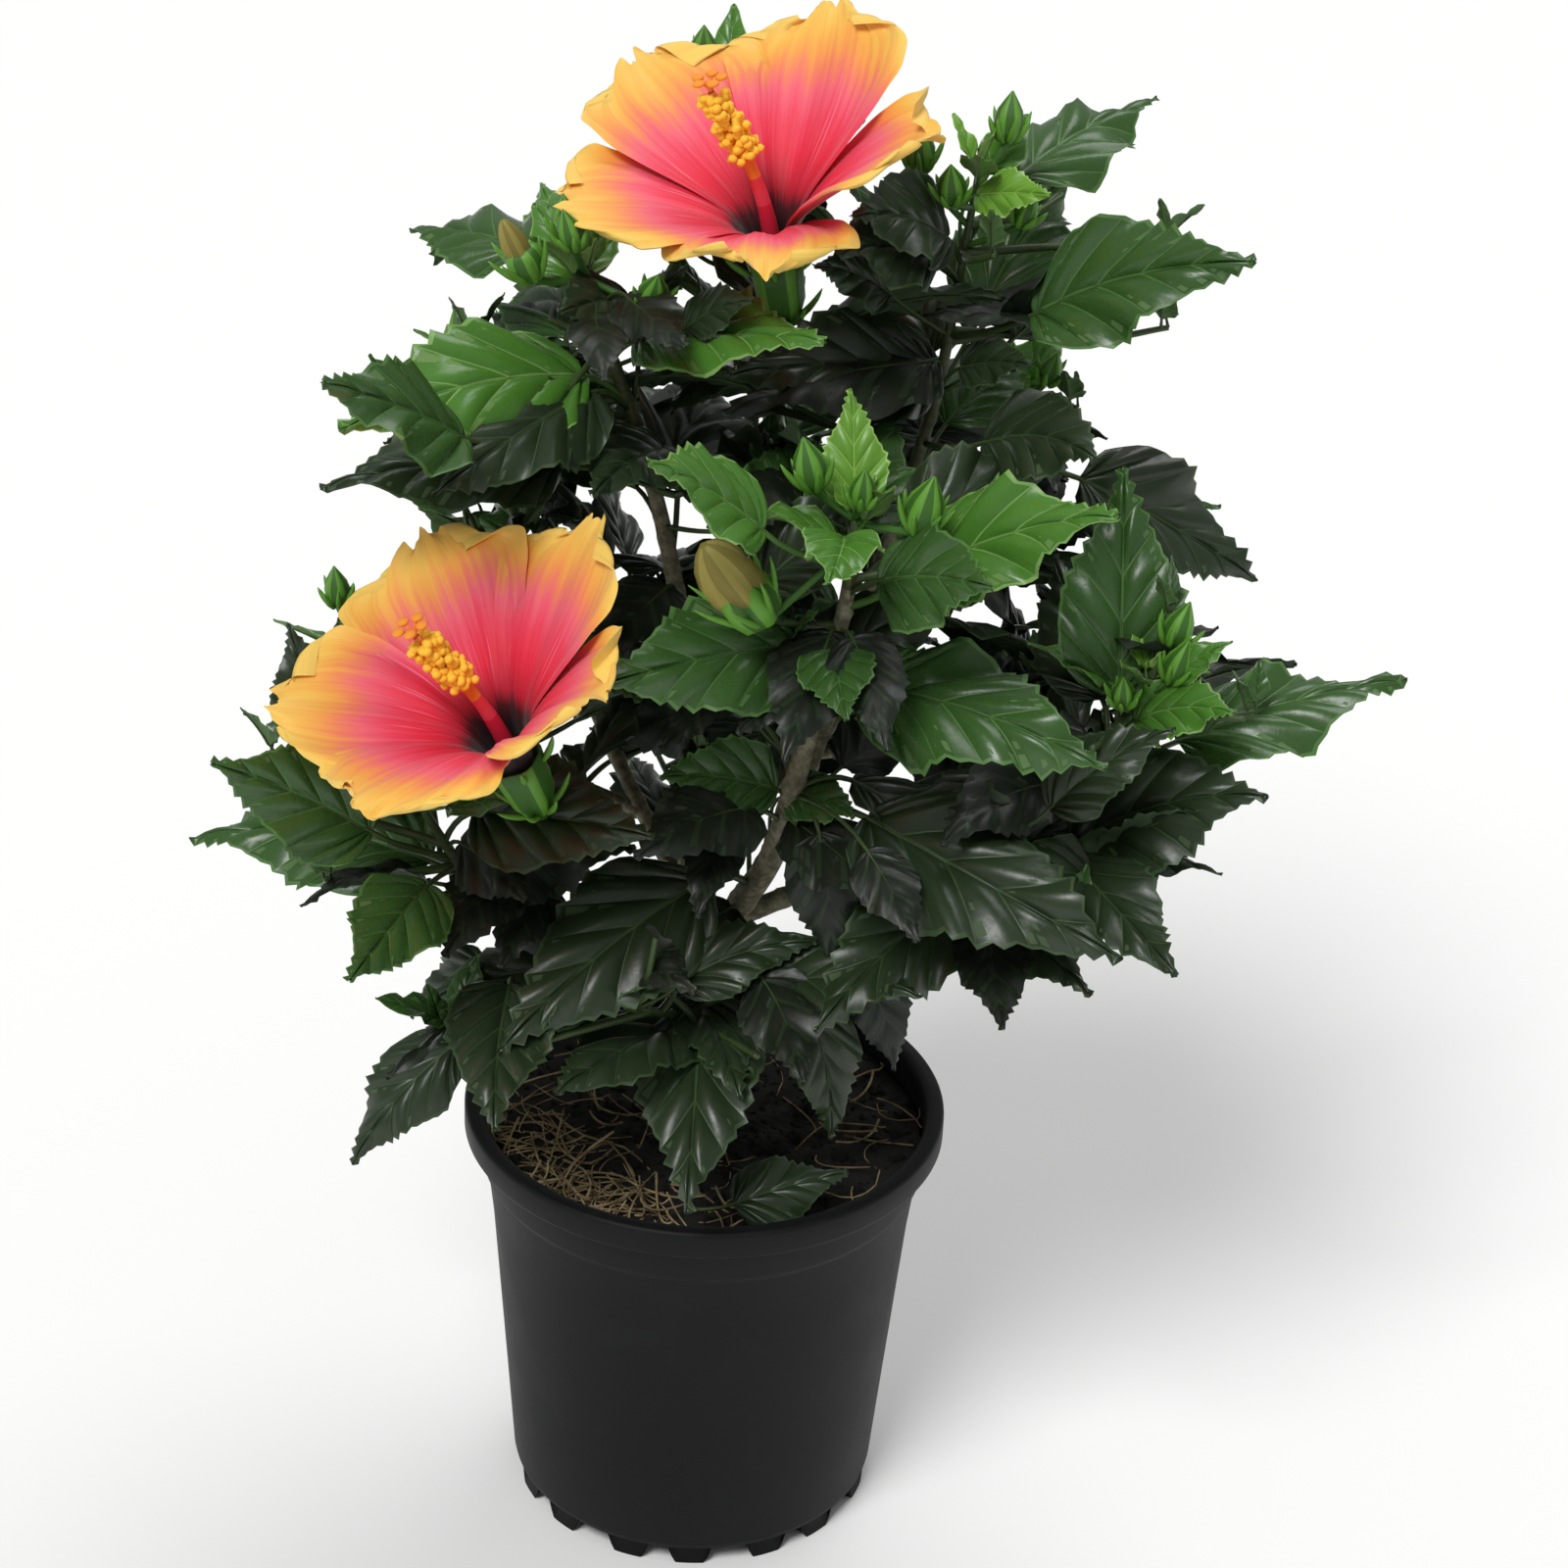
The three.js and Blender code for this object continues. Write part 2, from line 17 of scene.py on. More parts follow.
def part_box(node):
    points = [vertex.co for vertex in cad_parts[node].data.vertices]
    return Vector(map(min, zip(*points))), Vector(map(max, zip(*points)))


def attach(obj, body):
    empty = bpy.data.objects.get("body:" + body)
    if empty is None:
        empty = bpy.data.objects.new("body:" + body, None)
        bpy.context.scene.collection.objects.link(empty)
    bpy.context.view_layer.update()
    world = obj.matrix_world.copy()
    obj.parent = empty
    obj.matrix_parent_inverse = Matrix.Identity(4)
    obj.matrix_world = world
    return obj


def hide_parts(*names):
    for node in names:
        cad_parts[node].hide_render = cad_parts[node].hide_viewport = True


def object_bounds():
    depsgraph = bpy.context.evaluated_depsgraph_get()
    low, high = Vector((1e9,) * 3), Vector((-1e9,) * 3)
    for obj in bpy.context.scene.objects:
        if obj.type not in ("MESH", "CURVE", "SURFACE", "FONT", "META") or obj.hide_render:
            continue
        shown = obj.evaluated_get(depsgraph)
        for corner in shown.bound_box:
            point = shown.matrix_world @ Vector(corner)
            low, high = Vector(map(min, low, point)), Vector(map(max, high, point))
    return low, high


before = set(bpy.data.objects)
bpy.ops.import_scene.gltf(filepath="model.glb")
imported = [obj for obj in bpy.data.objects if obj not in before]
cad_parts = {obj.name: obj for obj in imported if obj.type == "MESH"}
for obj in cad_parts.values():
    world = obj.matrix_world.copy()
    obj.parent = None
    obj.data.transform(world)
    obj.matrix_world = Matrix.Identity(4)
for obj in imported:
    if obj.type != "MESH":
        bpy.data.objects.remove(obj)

MM = 0.001
cad_box = [list(corner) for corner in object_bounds()]
scene = bpy.context.scene
ONE_TURN = 2 * math.pi
GOLDEN = math.radians(137.5)  # the turn from one leaf to the next on a shoot, which plants share
chance = np.random.default_rng(20)  # every random choice up to the twigs is drawn from this seed
print("model box in metres", np.round(cad_box, 3).tolist())

# %% [markdown]
# ## Camera, light and floor
# A product view of a pot plant is taken from a little above, so that one sees into the rim. The camera's
# place is given from the centre of the pot's rim: so far away, so far to the side and so far above.

# %% Camera
pot_low, pot_high = (np.array(corner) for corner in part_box("pot"))
rim_centre = np.array([*(pot_low + pot_high)[:2] / 2, pot_high[2]])
PITCH = math.radians(27.7)  # how far the view looks down
ROLL = math.radians(2.8)  # and how far it leans
CAMERA_OFFSET = np.array([28, 110.5, -1217]) * MM  # to the right, up, and away along the view

forward = np.array([0, math.cos(PITCH), -math.sin(PITCH)])
level_right, level_up = np.array([1.0, 0, 0]), np.array([0, math.sin(PITCH), math.cos(PITCH)])
right = level_right * math.cos(ROLL) + level_up * math.sin(ROLL)
upward = level_up * math.cos(ROLL) - level_right * math.sin(ROLL)
place = rim_centre + CAMERA_OFFSET[0] * right + CAMERA_OFFSET[1] * upward + CAMERA_OFFSET[2] * forward

camera_data = bpy.data.cameras.new("camera")
camera_data.lens = 78.75
camera_data.sensor_width = 36
camera = bpy.data.objects.new("camera", camera_data)
camera.matrix_world = Matrix(np.column_stack([right, upward, -forward, place]).tolist() + [[0, 0, 0, 1]])
scene.collection.objects.link(camera)
scene.camera = camera
print("camera stands at", np.round(place, 3))

# %% [markdown]
# ## Tools for the surfaces
# Colours are written as hex values, as a paint chart gives them, and shaders want linear numbers. One
# function adds a node with its settings and links, and another starts a material.

# %% Colours and materials
def linear(hex_colour):
    """The linear red, green, blue and alpha of an sRGB hex colour."""
    coded = np.array([int(hex_colour[i:i + 2], 16) for i in (1, 3, 5)]) / 255
    straight = np.where(coded <= 0.04045, coded / 12.92, ((coded + 0.055) / 1.055) ** 2.4)
    return (*straight.tolist(), 1.0)


def add(tree, kind, inputs=None, **settings):
    """Adds a node: settings are its own properties, and each input is a value or another node's socket."""
    node = tree.nodes.new(kind)
    for name, value in settings.items():
        setattr(node, name, value)
    for name, value in (inputs or {}).items():
        if isinstance(value, bpy.types.NodeSocket):
            tree.links.new(value, node.inputs[name])
        else:
            node.inputs[name].default_value = value
    return node


def ramp_stops(node, stops):
    """Puts (place, hex colour) stops on a colour ramp."""
    elements = node.color_ramp.elements
    while len(elements) > 1:
        elements.remove(elements[-1])
    elements[0].position = stops[0][0]
    elements[0].color = linear(stops[0][1])
    for where, colour in stops[1:]:
        elements.new(where).color = linear(colour)


def object_noise(tree, grain_mm, detail=3.0, roughness=0.55):
    """Noise in the object's own space whose grains are so many millimetres wide."""
    place = add(tree, "ShaderNodeTexCoord").outputs["Object"]
    inputs = {"Vector": place, "Scale": 1 / (grain_mm * MM), "Detail": detail, "Roughness": roughness}
    return add(tree, "ShaderNodeTexNoise", inputs).outputs["Fac"]


def relief(tree, shader, height, depth_mm, strength):
    """Turns a pattern into bump on the shader, so deep in millimetres."""
    bump = add(tree, "ShaderNodeBump", {"Height": height, "Distance": depth_mm * MM, "Strength": strength})
    tree.links.new(bump.outputs["Normal"], shader.inputs["Normal"])


def new_finish(name, colour=None, stops=(), grain=None, dulling=(), depth=(), **values):
    """A material with one principled shader, whose values are set on the shader's own sockets.

    The grain is a noise of so many millimetres. It picks the colour out of the stops, moves the roughness
    between the two limits of the dulling, and raises a relief of a depth in millimetres and a strength."""
    finish = bpy.data.materials.new(name)
    finish.use_nodes = True
    tree = finish.node_tree
    tree.nodes.clear()
    shader = add(tree, "ShaderNodeBsdfPrincipled")
    for socket, value in values.items():
        shader.inputs[socket.replace("_", " ")].default_value = value
    add(tree, "ShaderNodeOutputMaterial", {"Surface": shader.outputs["BSDF"]})
    if colour:
        shader.inputs["Base Color"].default_value = linear(colour)
    pattern = object_noise(tree, *grain) if grain else None
    if stops:
        ramp = add(tree, "ShaderNodeValToRGB", {"Fac": pattern})
        ramp_stops(ramp, stops)
        tree.links.new(ramp.outputs["Color"], shader.inputs["Base Color"])
    if dulling:
        dull = add(tree, "ShaderNodeMapRange", {"Value": pattern, "To Min": dulling[0], "To Max": dulling[1]})
        tree.links.new(dull.outputs["Result"], shader.inputs["Roughness"])
    if depth:
        relief(tree, shader, pattern, *depth)
    return finish


# %% [markdown]
# ## Light
# A studio lights such a plant with big soft boxes and a white wall behind. Boxes this big and far off
# give light that is as strong on the floor behind as on the plant, so each is a sun with a wide disc. The
# room is dimmer in reflections than it looks, which leaves the shine of the leaves to the soft boxes.

# %% Lights and room
def heading(turn, lift):
    """The unit vector at an azimuth and a rise above the level, both in radians."""
    return np.stack([np.cos(lift) * np.cos(turn), np.cos(lift) * np.sin(turn), np.sin(lift)], axis=-1)


def soft_light(name, azimuth, rise, width, strength):
    """A distant round soft box at an azimuth and a rise in degrees, so many degrees wide."""
    data = bpy.data.lights.new(name, "SUN")
    data.angle = math.radians(width)
    data.energy = strength
    lamp = bpy.data.objects.new(name, data)
    place = Vector(heading(math.radians(azimuth), math.radians(rise)))
    lamp.rotation_euler = place.to_track_quat("Z", "Y").to_euler()
    scene.collection.objects.link(lamp)


soft_light("key_box", -118, 52, 24, 2.0)
soft_light("back_box", 60, 62, 34, 1.0)

world = bpy.data.worlds.new("bright_room")
world.use_nodes = True
room = world.node_tree
seen = add(room, "ShaderNodeLightPath")
IN_REFLECTIONS, TO_THE_EYE = 0.34, 1.02
glow = {"Value": seen.outputs["Is Camera Ray"], "To Min": IN_REFLECTIONS, "To Max": TO_THE_EYE}
strength = add(room, "ShaderNodeMapRange", glow).outputs["Result"]
background = room.nodes["Background"].inputs
room.links.new(strength, background["Strength"])
background["Color"].default_value = (0.99, 1.0, 1.0, 1.0)
scene.world = world
scene.view_settings.view_transform = "Standard"

# %% [markdown]
# A surface here is a grid of points worked out by numpy, with four-sided faces between them. Tubes follow
# lines, and a turned shape is a profile carried round the pot's axis.

# %% Meshes from grids
def grid_quads(rows, columns, closed=False):
    """Faces of a grid with points numbered row by row; a closed grid joins its last column to its first."""
    numbers = np.arange(rows * columns).reshape(rows, columns)
    if closed:
        numbers = np.column_stack([numbers, numbers[:, 0]])
    corners = [numbers[:-1, :-1], numbers[:-1, 1:], numbers[1:, 1:], numbers[1:, :-1]]
    return np.stack([corner.ravel() for corner in corners], axis=1)


def turned(radius, height, turn):
    """Points of a turned shape, row by row: (radius * cos(turn), radius * sin(turn), height)."""
    return np.stack(np.broadcast_arrays(radius * np.cos(turn), radius * np.sin(turn), height), axis=-1)


def unit(vectors):
    """Vectors of length one."""
    return vectors / np.maximum(np.linalg.norm(vectors, axis=-1, keepdims=True), 1e-12)


NO_QUADS, NO_TRIANGLES = np.zeros((0, 4), int), np.zeros((0, 3), int)


class Heap:
    """Collects points, faces and each face's finish number, so that many small shapes become one mesh.

    A rim point lies on the edge of a thin sheet, where the shading has to break."""

    def __init__(self):
        self.points, self.rims = [], []
        self.quads, self.quad_maps, self.quad_finish = [], [], []
        self.triangles, self.triangle_maps, self.triangle_finish = [], [], []
        self.count = 0

    def add(self, points, quads=NO_QUADS, triangles=NO_TRIANGLES, finish=0, end_finish=0, **maps):
        """Adds one shape, whose faces count from its own first point.

        Flat places go by point in flat_map or by face in face_map, and rim marks the points of the rim."""
        points = points.reshape(-1, 3)
        flat_map = maps.get("flat_map", np.zeros((len(points), 2))).reshape(-1, 2)
        self.points.append(points)
        self.rims.append(np.broadcast_to(maps.get("rim", False), len(points)))
        self.quads.append(quads + self.count)
        self.quad_maps.append(maps.get("face_map", flat_map[quads]))
        self.quad_finish.append(np.broadcast_to(finish, len(quads)))
        self.triangles.append(triangles + self.count)
        self.triangle_maps.append(flat_map[triangles])
        self.triangle_finish.append(np.broadcast_to(end_finish, len(triangles)))
        self.count += len(points)


def mesh_of(name, heap, map_name):
    """A Blender mesh of everything in a heap: four-sided faces first, then triangles."""
    quads, triangles = np.concatenate(heap.quads), np.concatenate(heap.triangles)
    corners = np.concatenate([quads.ravel(), triangles.ravel()])
    starts = np.concatenate([np.arange(len(quads)) * 4, quads.size + np.arange(len(triangles)) * 3])
    flat = [places.reshape(-1, 2) for places in heap.quad_maps + heap.triangle_maps]
    mesh = bpy.data.meshes.new(name)
    mesh.vertices.add(heap.count)
    mesh.vertices.foreach_set("co", np.concatenate(heap.points).astype(np.float32).ravel())
    mesh.loops.add(len(corners))
    mesh.loops.foreach_set("vertex_index", corners.astype(np.int32))
    mesh.polygons.add(len(starts))
    mesh.polygons.foreach_set("loop_start", starts.astype(np.int32))
    finish = np.concatenate(heap.quad_finish + heap.triangle_finish)
    mesh.polygons.foreach_set("material_index", finish.astype(np.int32))
    mesh.polygons.foreach_set("use_smooth", np.ones(len(starts), bool))
    mesh.update(calc_edges=True)
    layer = mesh.uv_layers.new(name=map_name)
    layer.data.foreach_set("uv", np.concatenate(flat).astype(np.float32).ravel())
    rim = np.concatenate(heap.rims)
    if rim.any():
        ends = np.zeros(len(mesh.edges) * 2, np.int32)
        mesh.edges.foreach_get("vertices", ends)
        sharp = mesh.attributes.new("sharp_edge", "BOOLEAN", "EDGE")
        sharp.data.foreach_set("value", rim[ends.reshape(-1, 2)].all(axis=1))
    print(f"{name}: {len(quads) * 2 + len(triangles)} triangles")
    return mesh


def make_piece(name, heap, finishes, replaced=(), map_name="surface"):
    """Makes one object of the heap, rides it on the plant's body and hides the solids it stands for.

    A flat map in which no two faces overlap is named OFBake."""
    mesh = mesh_of(name, heap, map_name)
    for finish in finishes:
        mesh.materials.append(finish)
    piece = bpy.data.objects.new(name, mesh)
    scene.collection.objects.link(piece)
    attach(piece, "root")
    if replaced:
        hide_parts(*replaced)
    return piece


# %% [markdown]
# Stems, stalks, twigs, fibres, anthers and bracts are all tubes round a line, so one function makes them.

# %% Lines and tubes
def smooth_line(waypoints, count):
    """A Catmull-Rom curve through the waypoints, as so many evenly numbered points."""
    p = np.asarray(waypoints, float)
    p = np.vstack([2 * p[0] - p[1], p, 2 * p[-1] - p[-2]])
    t = np.linspace(0, len(p) - 3, count)
    i = np.minimum(t.astype(int), len(p) - 4)
    f = (t - i)[:, None]
    a, b, c, d = p[i], p[i + 1], p[i + 2], p[i + 3]
    return 0.5 * (2 * b + (c - a) * f + (2 * a - 5 * b + 4 * c - d) * f**2 + (3 * b - a - 3 * c + d) * f**3)


def length_of(line):
    """The length of a line of points."""
    return np.linalg.norm(np.diff(line, axis=0), axis=1).sum()


def tube_points(lines, radii, sides, swell=None):
    """Rings round N lines of K points: point + radius * (side * cos(turn) + over * sin(turn)).

    side and over are square to the line; swell, if given, multiplies the radius of each point."""
    tangents = unit(np.gradient(lines, axis=1))
    chords = np.abs(unit(lines[:, -1] - lines[:, 0]))
    reference = np.eye(3)[np.argmin(chords, axis=1)][:, None, :]
    side = unit(np.cross(tangents, reference))
    over = np.cross(tangents, side)
    turn = np.linspace(0, ONE_TURN, sides, endpoint=False)
    reach = radii[:, :, None] * (np.ones(sides) if swell is None else swell)
    ring = side[:, :, None] * np.cos(turn)[:, None] + over[:, :, None] * np.sin(turn)[:, None]
    return lines[:, :, None] + reach[..., None] * ring


def add_tubes(heap, lines, radii, sides=6, finish=0, swell=None):
    """Adds N closed tubes to a heap, each with a fan over both its ends."""
    lines = np.asarray(lines, float)
    radii = np.broadcast_to(radii, lines.shape[:2])
    rings = tube_points(lines, radii, sides, swell)
    number, count = lines.shape[:2]
    points = np.concatenate([rings.reshape(number, -1, 3), lines[:, :1], lines[:, -1:]], axis=1)
    per_tube = count * sides + 2
    shift = (np.arange(number) * per_tube)[:, None, None]
    quads = grid_quads(count, sides, closed=True)[None] + shift
    s = np.arange(sides)
    after = (s + 1) % sides
    foot = np.stack([np.full(sides, per_tube - 2), after, s], axis=1)
    last = (count - 1) * sides
    tip = np.stack([np.full(sides, per_tube - 1), last + s, last + after], axis=1)
    fans = np.concatenate([foot, tip])[None] + shift
    along = np.linspace(0, 1, count)
    ring_map = np.stack(np.broadcast_arrays(s[None, :] / sides, along[:, None]), axis=-1).reshape(-1, 2)
    flat_map = np.tile(np.concatenate([ring_map, [[0.5, 0], [0.5, 1]]]), (number, 1))
    heap.add(points, quads.reshape(-1, 4), fans.reshape(-1, 3), finish, finish, flat_map=flat_map)


def waves(points, wavelength, seed):
    """Smooth unevenness between about -1 and 1: four sine waves that cross in seeded directions."""
    draw = np.random.default_rng(seed)
    ways = unit(draw.normal(size=(4, 3))) * ONE_TURN / wavelength
    return np.sin(points @ ways.T + draw.uniform(0, 6.28, 4)).sum(axis=-1) / 4


# %% [markdown]
# ## The floor
# A wide pale sheet of matt card, which the pot stands on.

# %% Floor
FLOOR_HALF = 6.0
card = new_finish("matt_card", "#F4F4F3", grain=[4], depth=(0.05, 0.2), Roughness=0.9)
square = FLOOR_HALF * np.array([(-1, -1), (1, -1), (1, 1), (-1, 1)])
floor_mesh = bpy.data.meshes.new("floor")
floor_mesh.from_pydata([(x, y, cad_box[0][2]) for x, y in square], [], [(0, 1, 2, 3)])
floor_mesh.materials.append(card)
floor = bpy.data.objects.new("floor", floor_mesh)
scene.collection.objects.link(floor)

# %% [markdown]
# ## The pot
# A nursery pot is injection-moulded: one thin wall of black polypropylene with a rolled lip, a short collar
# that stiffens it, and a ring of scalloped feet that let water out below. It could be a turned profile
# alone, but the feet break the bottom edge, so the profile's foot is let down wherever a lug stands.

# %% Pot
LUG_PAIRS = 8
LUG_SPREAD = math.radians(20)  # between the two lugs of a pair
FIRST_PAIR = math.radians(217)
HALF_LUG = 7.3 / 65.0  # half a lug's width as a turn: its millimetres over the foot's radius
LUG_SHOULDER = 0.035
AXIS = 0.02  # the radius at which the section closes in the middle, in millimetres


def lug_share(azimuth):
    """1 under a foot lug and 0 between lugs, with rounded shoulders: each pair has two, a spread apart."""
    pitch = ONE_TURN / LUG_PAIRS
    within = (azimuth - FIRST_PAIR + pitch / 2) % pitch - pitch / 2
    from_lug = np.abs(np.abs(within) - LUG_SPREAD / 2)
    return np.clip((HALF_LUG - from_lug) / LUG_SHOULDER, 0, 1) ** 0.5


# The pot's section as radius and height in millimetres: out along the underside, up the wall, over the lip
# and down inside.
UNDERSIDE = [(AXIS, 0), (23.6, 0), (24, 0.4), (24.5, 6.5), (56.8, 6.5)]
LUG_EDGES = [(57.5, 6.6), (64.6, 6.6), (65.4, 6.6)]  # let down to the ground wherever a lug stands
OUTER = [(64, 6.5), (66.1, 7.2), (66.5, 9), (68.9, 40), (71.5, 73), (74.6, 112), (76.8, 131), (77.1, 132.2)]
COLLAR = [(78.3, 133.4), (78.7, 134.5), (79.7, 144), (80.2, 146.2), (82.6, 146.7), (84.5, 147.0), (85, 147.9)]
LIP = [(83.4 + 1.6 * math.cos(a), 155.2 + 1.8 * math.sin(a)) for a in np.linspace(0, 1.57, 5)]
INNER = [
    (81.5, 157), (80, 156.9), (78.9, 155.8), (78.3, 153), (77.2, 134), (75.4, 131.5), (65.3, 9.5),
    (63.5, 8.7),
]

turn = np.linspace(0, ONE_TURN, 288, endpoint=False)
section = np.array(UNDERSIDE + LUG_EDGES + OUTER + COLLAR + LIP + INNER + [(AXIS, 8.7)]) * MM
radius = section[:, :1]
height = np.repeat(section[:, 1:], len(turn), axis=1)
height[len(UNDERSIDE):][:len(LUG_EDGES)] *= 1 - lug_share(turn)
warp = 1 + 0.0009 * np.sin(3 * turn) * (height / pot_high[2]) ** 2  # thin plastic is never quite round
pot_map = np.stack(np.meshgrid(turn / ONE_TURN, np.linspace(0, 1, len(section))), axis=-1)
pot_heap = Heap()
pot_heap.add(turned(radius * warp, height, turn), grid_quads(*height.shape, closed=True), flat_map=pot_map)

# Moulded polypropylene with carbon black: a broad mottle of dust moves its colour and its dull shine a
# little, and a faint orange peel gives the shine a grain.
pot_black = new_finish(
    "moulded_polypropylene", stops=[(0.3, "#060707"), (0.55, "#0A0B0C"), (0.75, "#131516")],
    grain=(26, 6, 0.65), dulling=(0.48, 0.68), Roughness=0.58, IOR=1.3,
)
pot_tree = pot_black.node_tree
relief(pot_tree, pot_tree.nodes["Principled BSDF"], object_noise(pot_tree, 1.3, 2), 0.06, 0.5)
make_piece("nursery_pot", pot_heap, [pot_black], ["pot"])

# %% [markdown]
# ## The compost
# Potting compost is peat and bark crumbs with pale straw fibres in it. The top is a polar grid raised by
# crossing waves, and loose crumbs and fibres lie on it, so that its edge against the rim isn't a clean line.

# %% Compost
compost_low, compost_high = (np.array(corner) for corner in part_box("compost"))
COMPOST_RADIUS = (compost_high[0] - compost_low[0]) / 2
COMPOST_TOP = compost_high[2] - 1.5 * MM


def compost_height(x, y):
    """Height of the compost's top: its level plus waves 31, 13, 9, 5.5 and 2.9 mm long, swells to crumbs."""
    flat = np.stack([x, y, np.zeros_like(x)], axis=-1)
    lumps = 1.6 * waves(flat, 31 * MM, 1) + 1.0 * waves(flat, 13 * MM, 2)
    crumbs = 0.8 * waves(flat, 5.5 * MM, 3) * waves(flat, 9 * MM, 4) + 0.5 * waves(flat, 2.9 * MM, 5)
    return COMPOST_TOP + (lumps + crumbs) * MM


turn = np.linspace(0, ONE_TURN, 220, endpoint=False)
top = turned(np.linspace(0.5 * MM, COMPOST_RADIUS * 0.993, 64)[:, None], 0, turn)
top[..., 2] = compost_height(top[..., 0], top[..., 1])
wall_radius = np.array([COMPOST_RADIUS * 0.985, COMPOST_RADIUS * 0.94, 66 * MM, 65 * MM, 0.5 * MM])
wall_height = np.array([COMPOST_TOP - 12 * MM, COMPOST_TOP - 20 * MM, 20 * MM, 9.2 * MM, 9.2 * MM])
soil_points = np.concatenate([top, turned(wall_radius[:, None], wall_height[:, None], turn)])
soil_heap = Heap()
soil_heap.add(soil_points, grid_quads(len(soil_points), len(turn), closed=True)[:, ::-1])


def scatter_spots(count, inner, outer):
    """Random spots on the compost, spread evenly over the ring between two radii."""
    distance = np.sqrt(chance.uniform(inner**2, outer**2, count))
    bearing = chance.uniform(0, ONE_TURN, count)
    x, y = distance * np.cos(bearing), distance * np.sin(bearing)
    return np.stack([x, y, compost_height(x, y)], axis=-1)


# Crumbs are small eight-sided lumps, each with its own size and unevenness.
OCTAHEDRON = np.array([[1, 0, 0], [0, 1, 0], [-1, 0, 0], [0, -1, 0], [0, 0, 1], [0, 0, -1]], float)
LUMP_FACES = np.array([
    [0, 1, 4], [1, 2, 4], [2, 3, 4], [3, 0, 4], [1, 0, 5], [2, 1, 5], [3, 2, 5], [0, 3, 5],
])
CRUMBS = 900
spots = scatter_spots(CRUMBS, 9 * MM, COMPOST_RADIUS * 0.985)
sizes = chance.gamma(3.0, 0.45, CRUMBS)[:, None, None] * MM
lumps = spots[:, None] + OCTAHEDRON * chance.uniform(0.6, 1.4, (CRUMBS, 6, 1)) * sizes
lump_faces = LUMP_FACES + (np.arange(CRUMBS) * len(OCTAHEDRON))[:, None, None]
soil_heap.add(lumps, triangles=lump_faces.reshape(-1, 3))

# Moist peat is nearly black, with brown crumbs a couple of millimetres wide and no shine.
compost = new_finish(
    "peat_compost", stops=[(0.35, "#080706"), (0.52, "#100E0B"), (0.66, "#1F1913"), (0.78, "#3E3224")],
    grain=(2.2, 6, 0.7), depth=(0.8, 0.8), Roughness=0.95,
)
make_piece("compost_top", soil_heap, [compost], ["compost"])

# %% [markdown]
# Pale fibres lie on the compost, most of them in a heap at the front left. Each is a thin bent tube, held
# above the crumbs and inside the pot's wall.

# %% Straw fibres
FIBRES = 210
IN_THE_HEAP = 0.62
INSIDE_WALL = 77.5 * MM
middle = scatter_spots(FIBRES, 20 * MM, COMPOST_RADIUS * 0.97)
at_front_left = chance.uniform(size=FIBRES) < IN_THE_HEAP
bearing = np.radians(chance.normal(225, 27, FIBRES))
distance = chance.uniform(52, 80, FIBRES) * MM
middle[at_front_left, 0] = (distance * np.cos(bearing))[at_front_left]
middle[at_front_left, 1] = (distance * np.sin(bearing))[at_front_left]
middle[:, 2] = compost_height(middle[:, 0], middle[:, 1]) + chance.uniform(0.4, 4.5, FIBRES) * MM
lie = chance.uniform(0, np.pi, FIBRES)
half = chance.uniform(5, 17, FIBRES) * MM
bow = chance.normal(0, 0.35, (FIBRES, 3))
steps = np.linspace(-1, 1, 7)[:, None]
way = np.stack([np.cos(lie), np.sin(lie), chance.normal(0, 0.16, FIBRES)], axis=-1)
curve = way[:, None] * steps + bow[:, None] * steps**2
fibre_lines = middle[:, None] + half[:, None, None] * curve
from_axis = np.linalg.norm(fibre_lines[..., :2], axis=-1, keepdims=True)
fibre_lines[..., :2] *= np.minimum(1, INSIDE_WALL / from_axis)
ground = compost_height(fibre_lines[..., 0], fibre_lines[..., 1])
fibre_lines[..., 2] = np.maximum(fibre_lines[..., 2], ground + 0.2 * MM)
fibre_heap = Heap()
add_tubes(fibre_heap, fibre_lines, chance.uniform(0.22, 0.5, (FIBRES, 1)) * MM, sides=5)

# Dry straw: brown to pale where the sun has bleached it, and dull.
straw = new_finish(
    "straw_fibre", stops=[(0.3, "#4E402C"), (0.5, "#857250"), (0.7, "#AE9A74")], grain=[7], Roughness=0.8
)
make_piece("straw_fibres", fibre_heap, [straw])

# %% [markdown]
# ## Stems and boughs
# The solids of the limbs give where each one runs and how thick it is. The corners of a limb lie in rings
# square to its length, so the middle of each ring is a point of its centre line. Bark is then modelled on
# a much finer tube: low ridges along the stem, a ring with a scar at each old leaf, and corky specks.

# %% Centre lines of the limbs
def corners_of(node):
    """The distinct corners of a solid, in metres."""
    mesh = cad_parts[node].data
    flat = np.zeros(len(mesh.vertices) * 3)
    mesh.vertices.foreach_get("co", flat)
    return np.unique(np.round(flat.reshape(-1, 3), 5), axis=0)


def limb_line(node):
    """Centre points and radii of a limb's rings, from its foot up: rings part where the spacing jumps."""
    corners = corners_of(node)
    centre = corners.mean(axis=0)
    axis = np.linalg.svd(corners - centre)[2][0]
    place = (corners - centre) @ axis
    order = np.argsort(place)
    breaks = np.flatnonzero(np.diff(place[order]) > 6 * MM) + 1
    groups = np.split(order, breaks)
    middles = np.array([corners[group].mean(axis=0) for group in groups])
    radii = np.array([np.linalg.norm(corners[g] - m, axis=1).mean() for g, m in zip(groups, middles)])
    if middles[0][2] > middles[-1][2]:
        middles, radii = middles[::-1], radii[::-1]
    return middles, radii


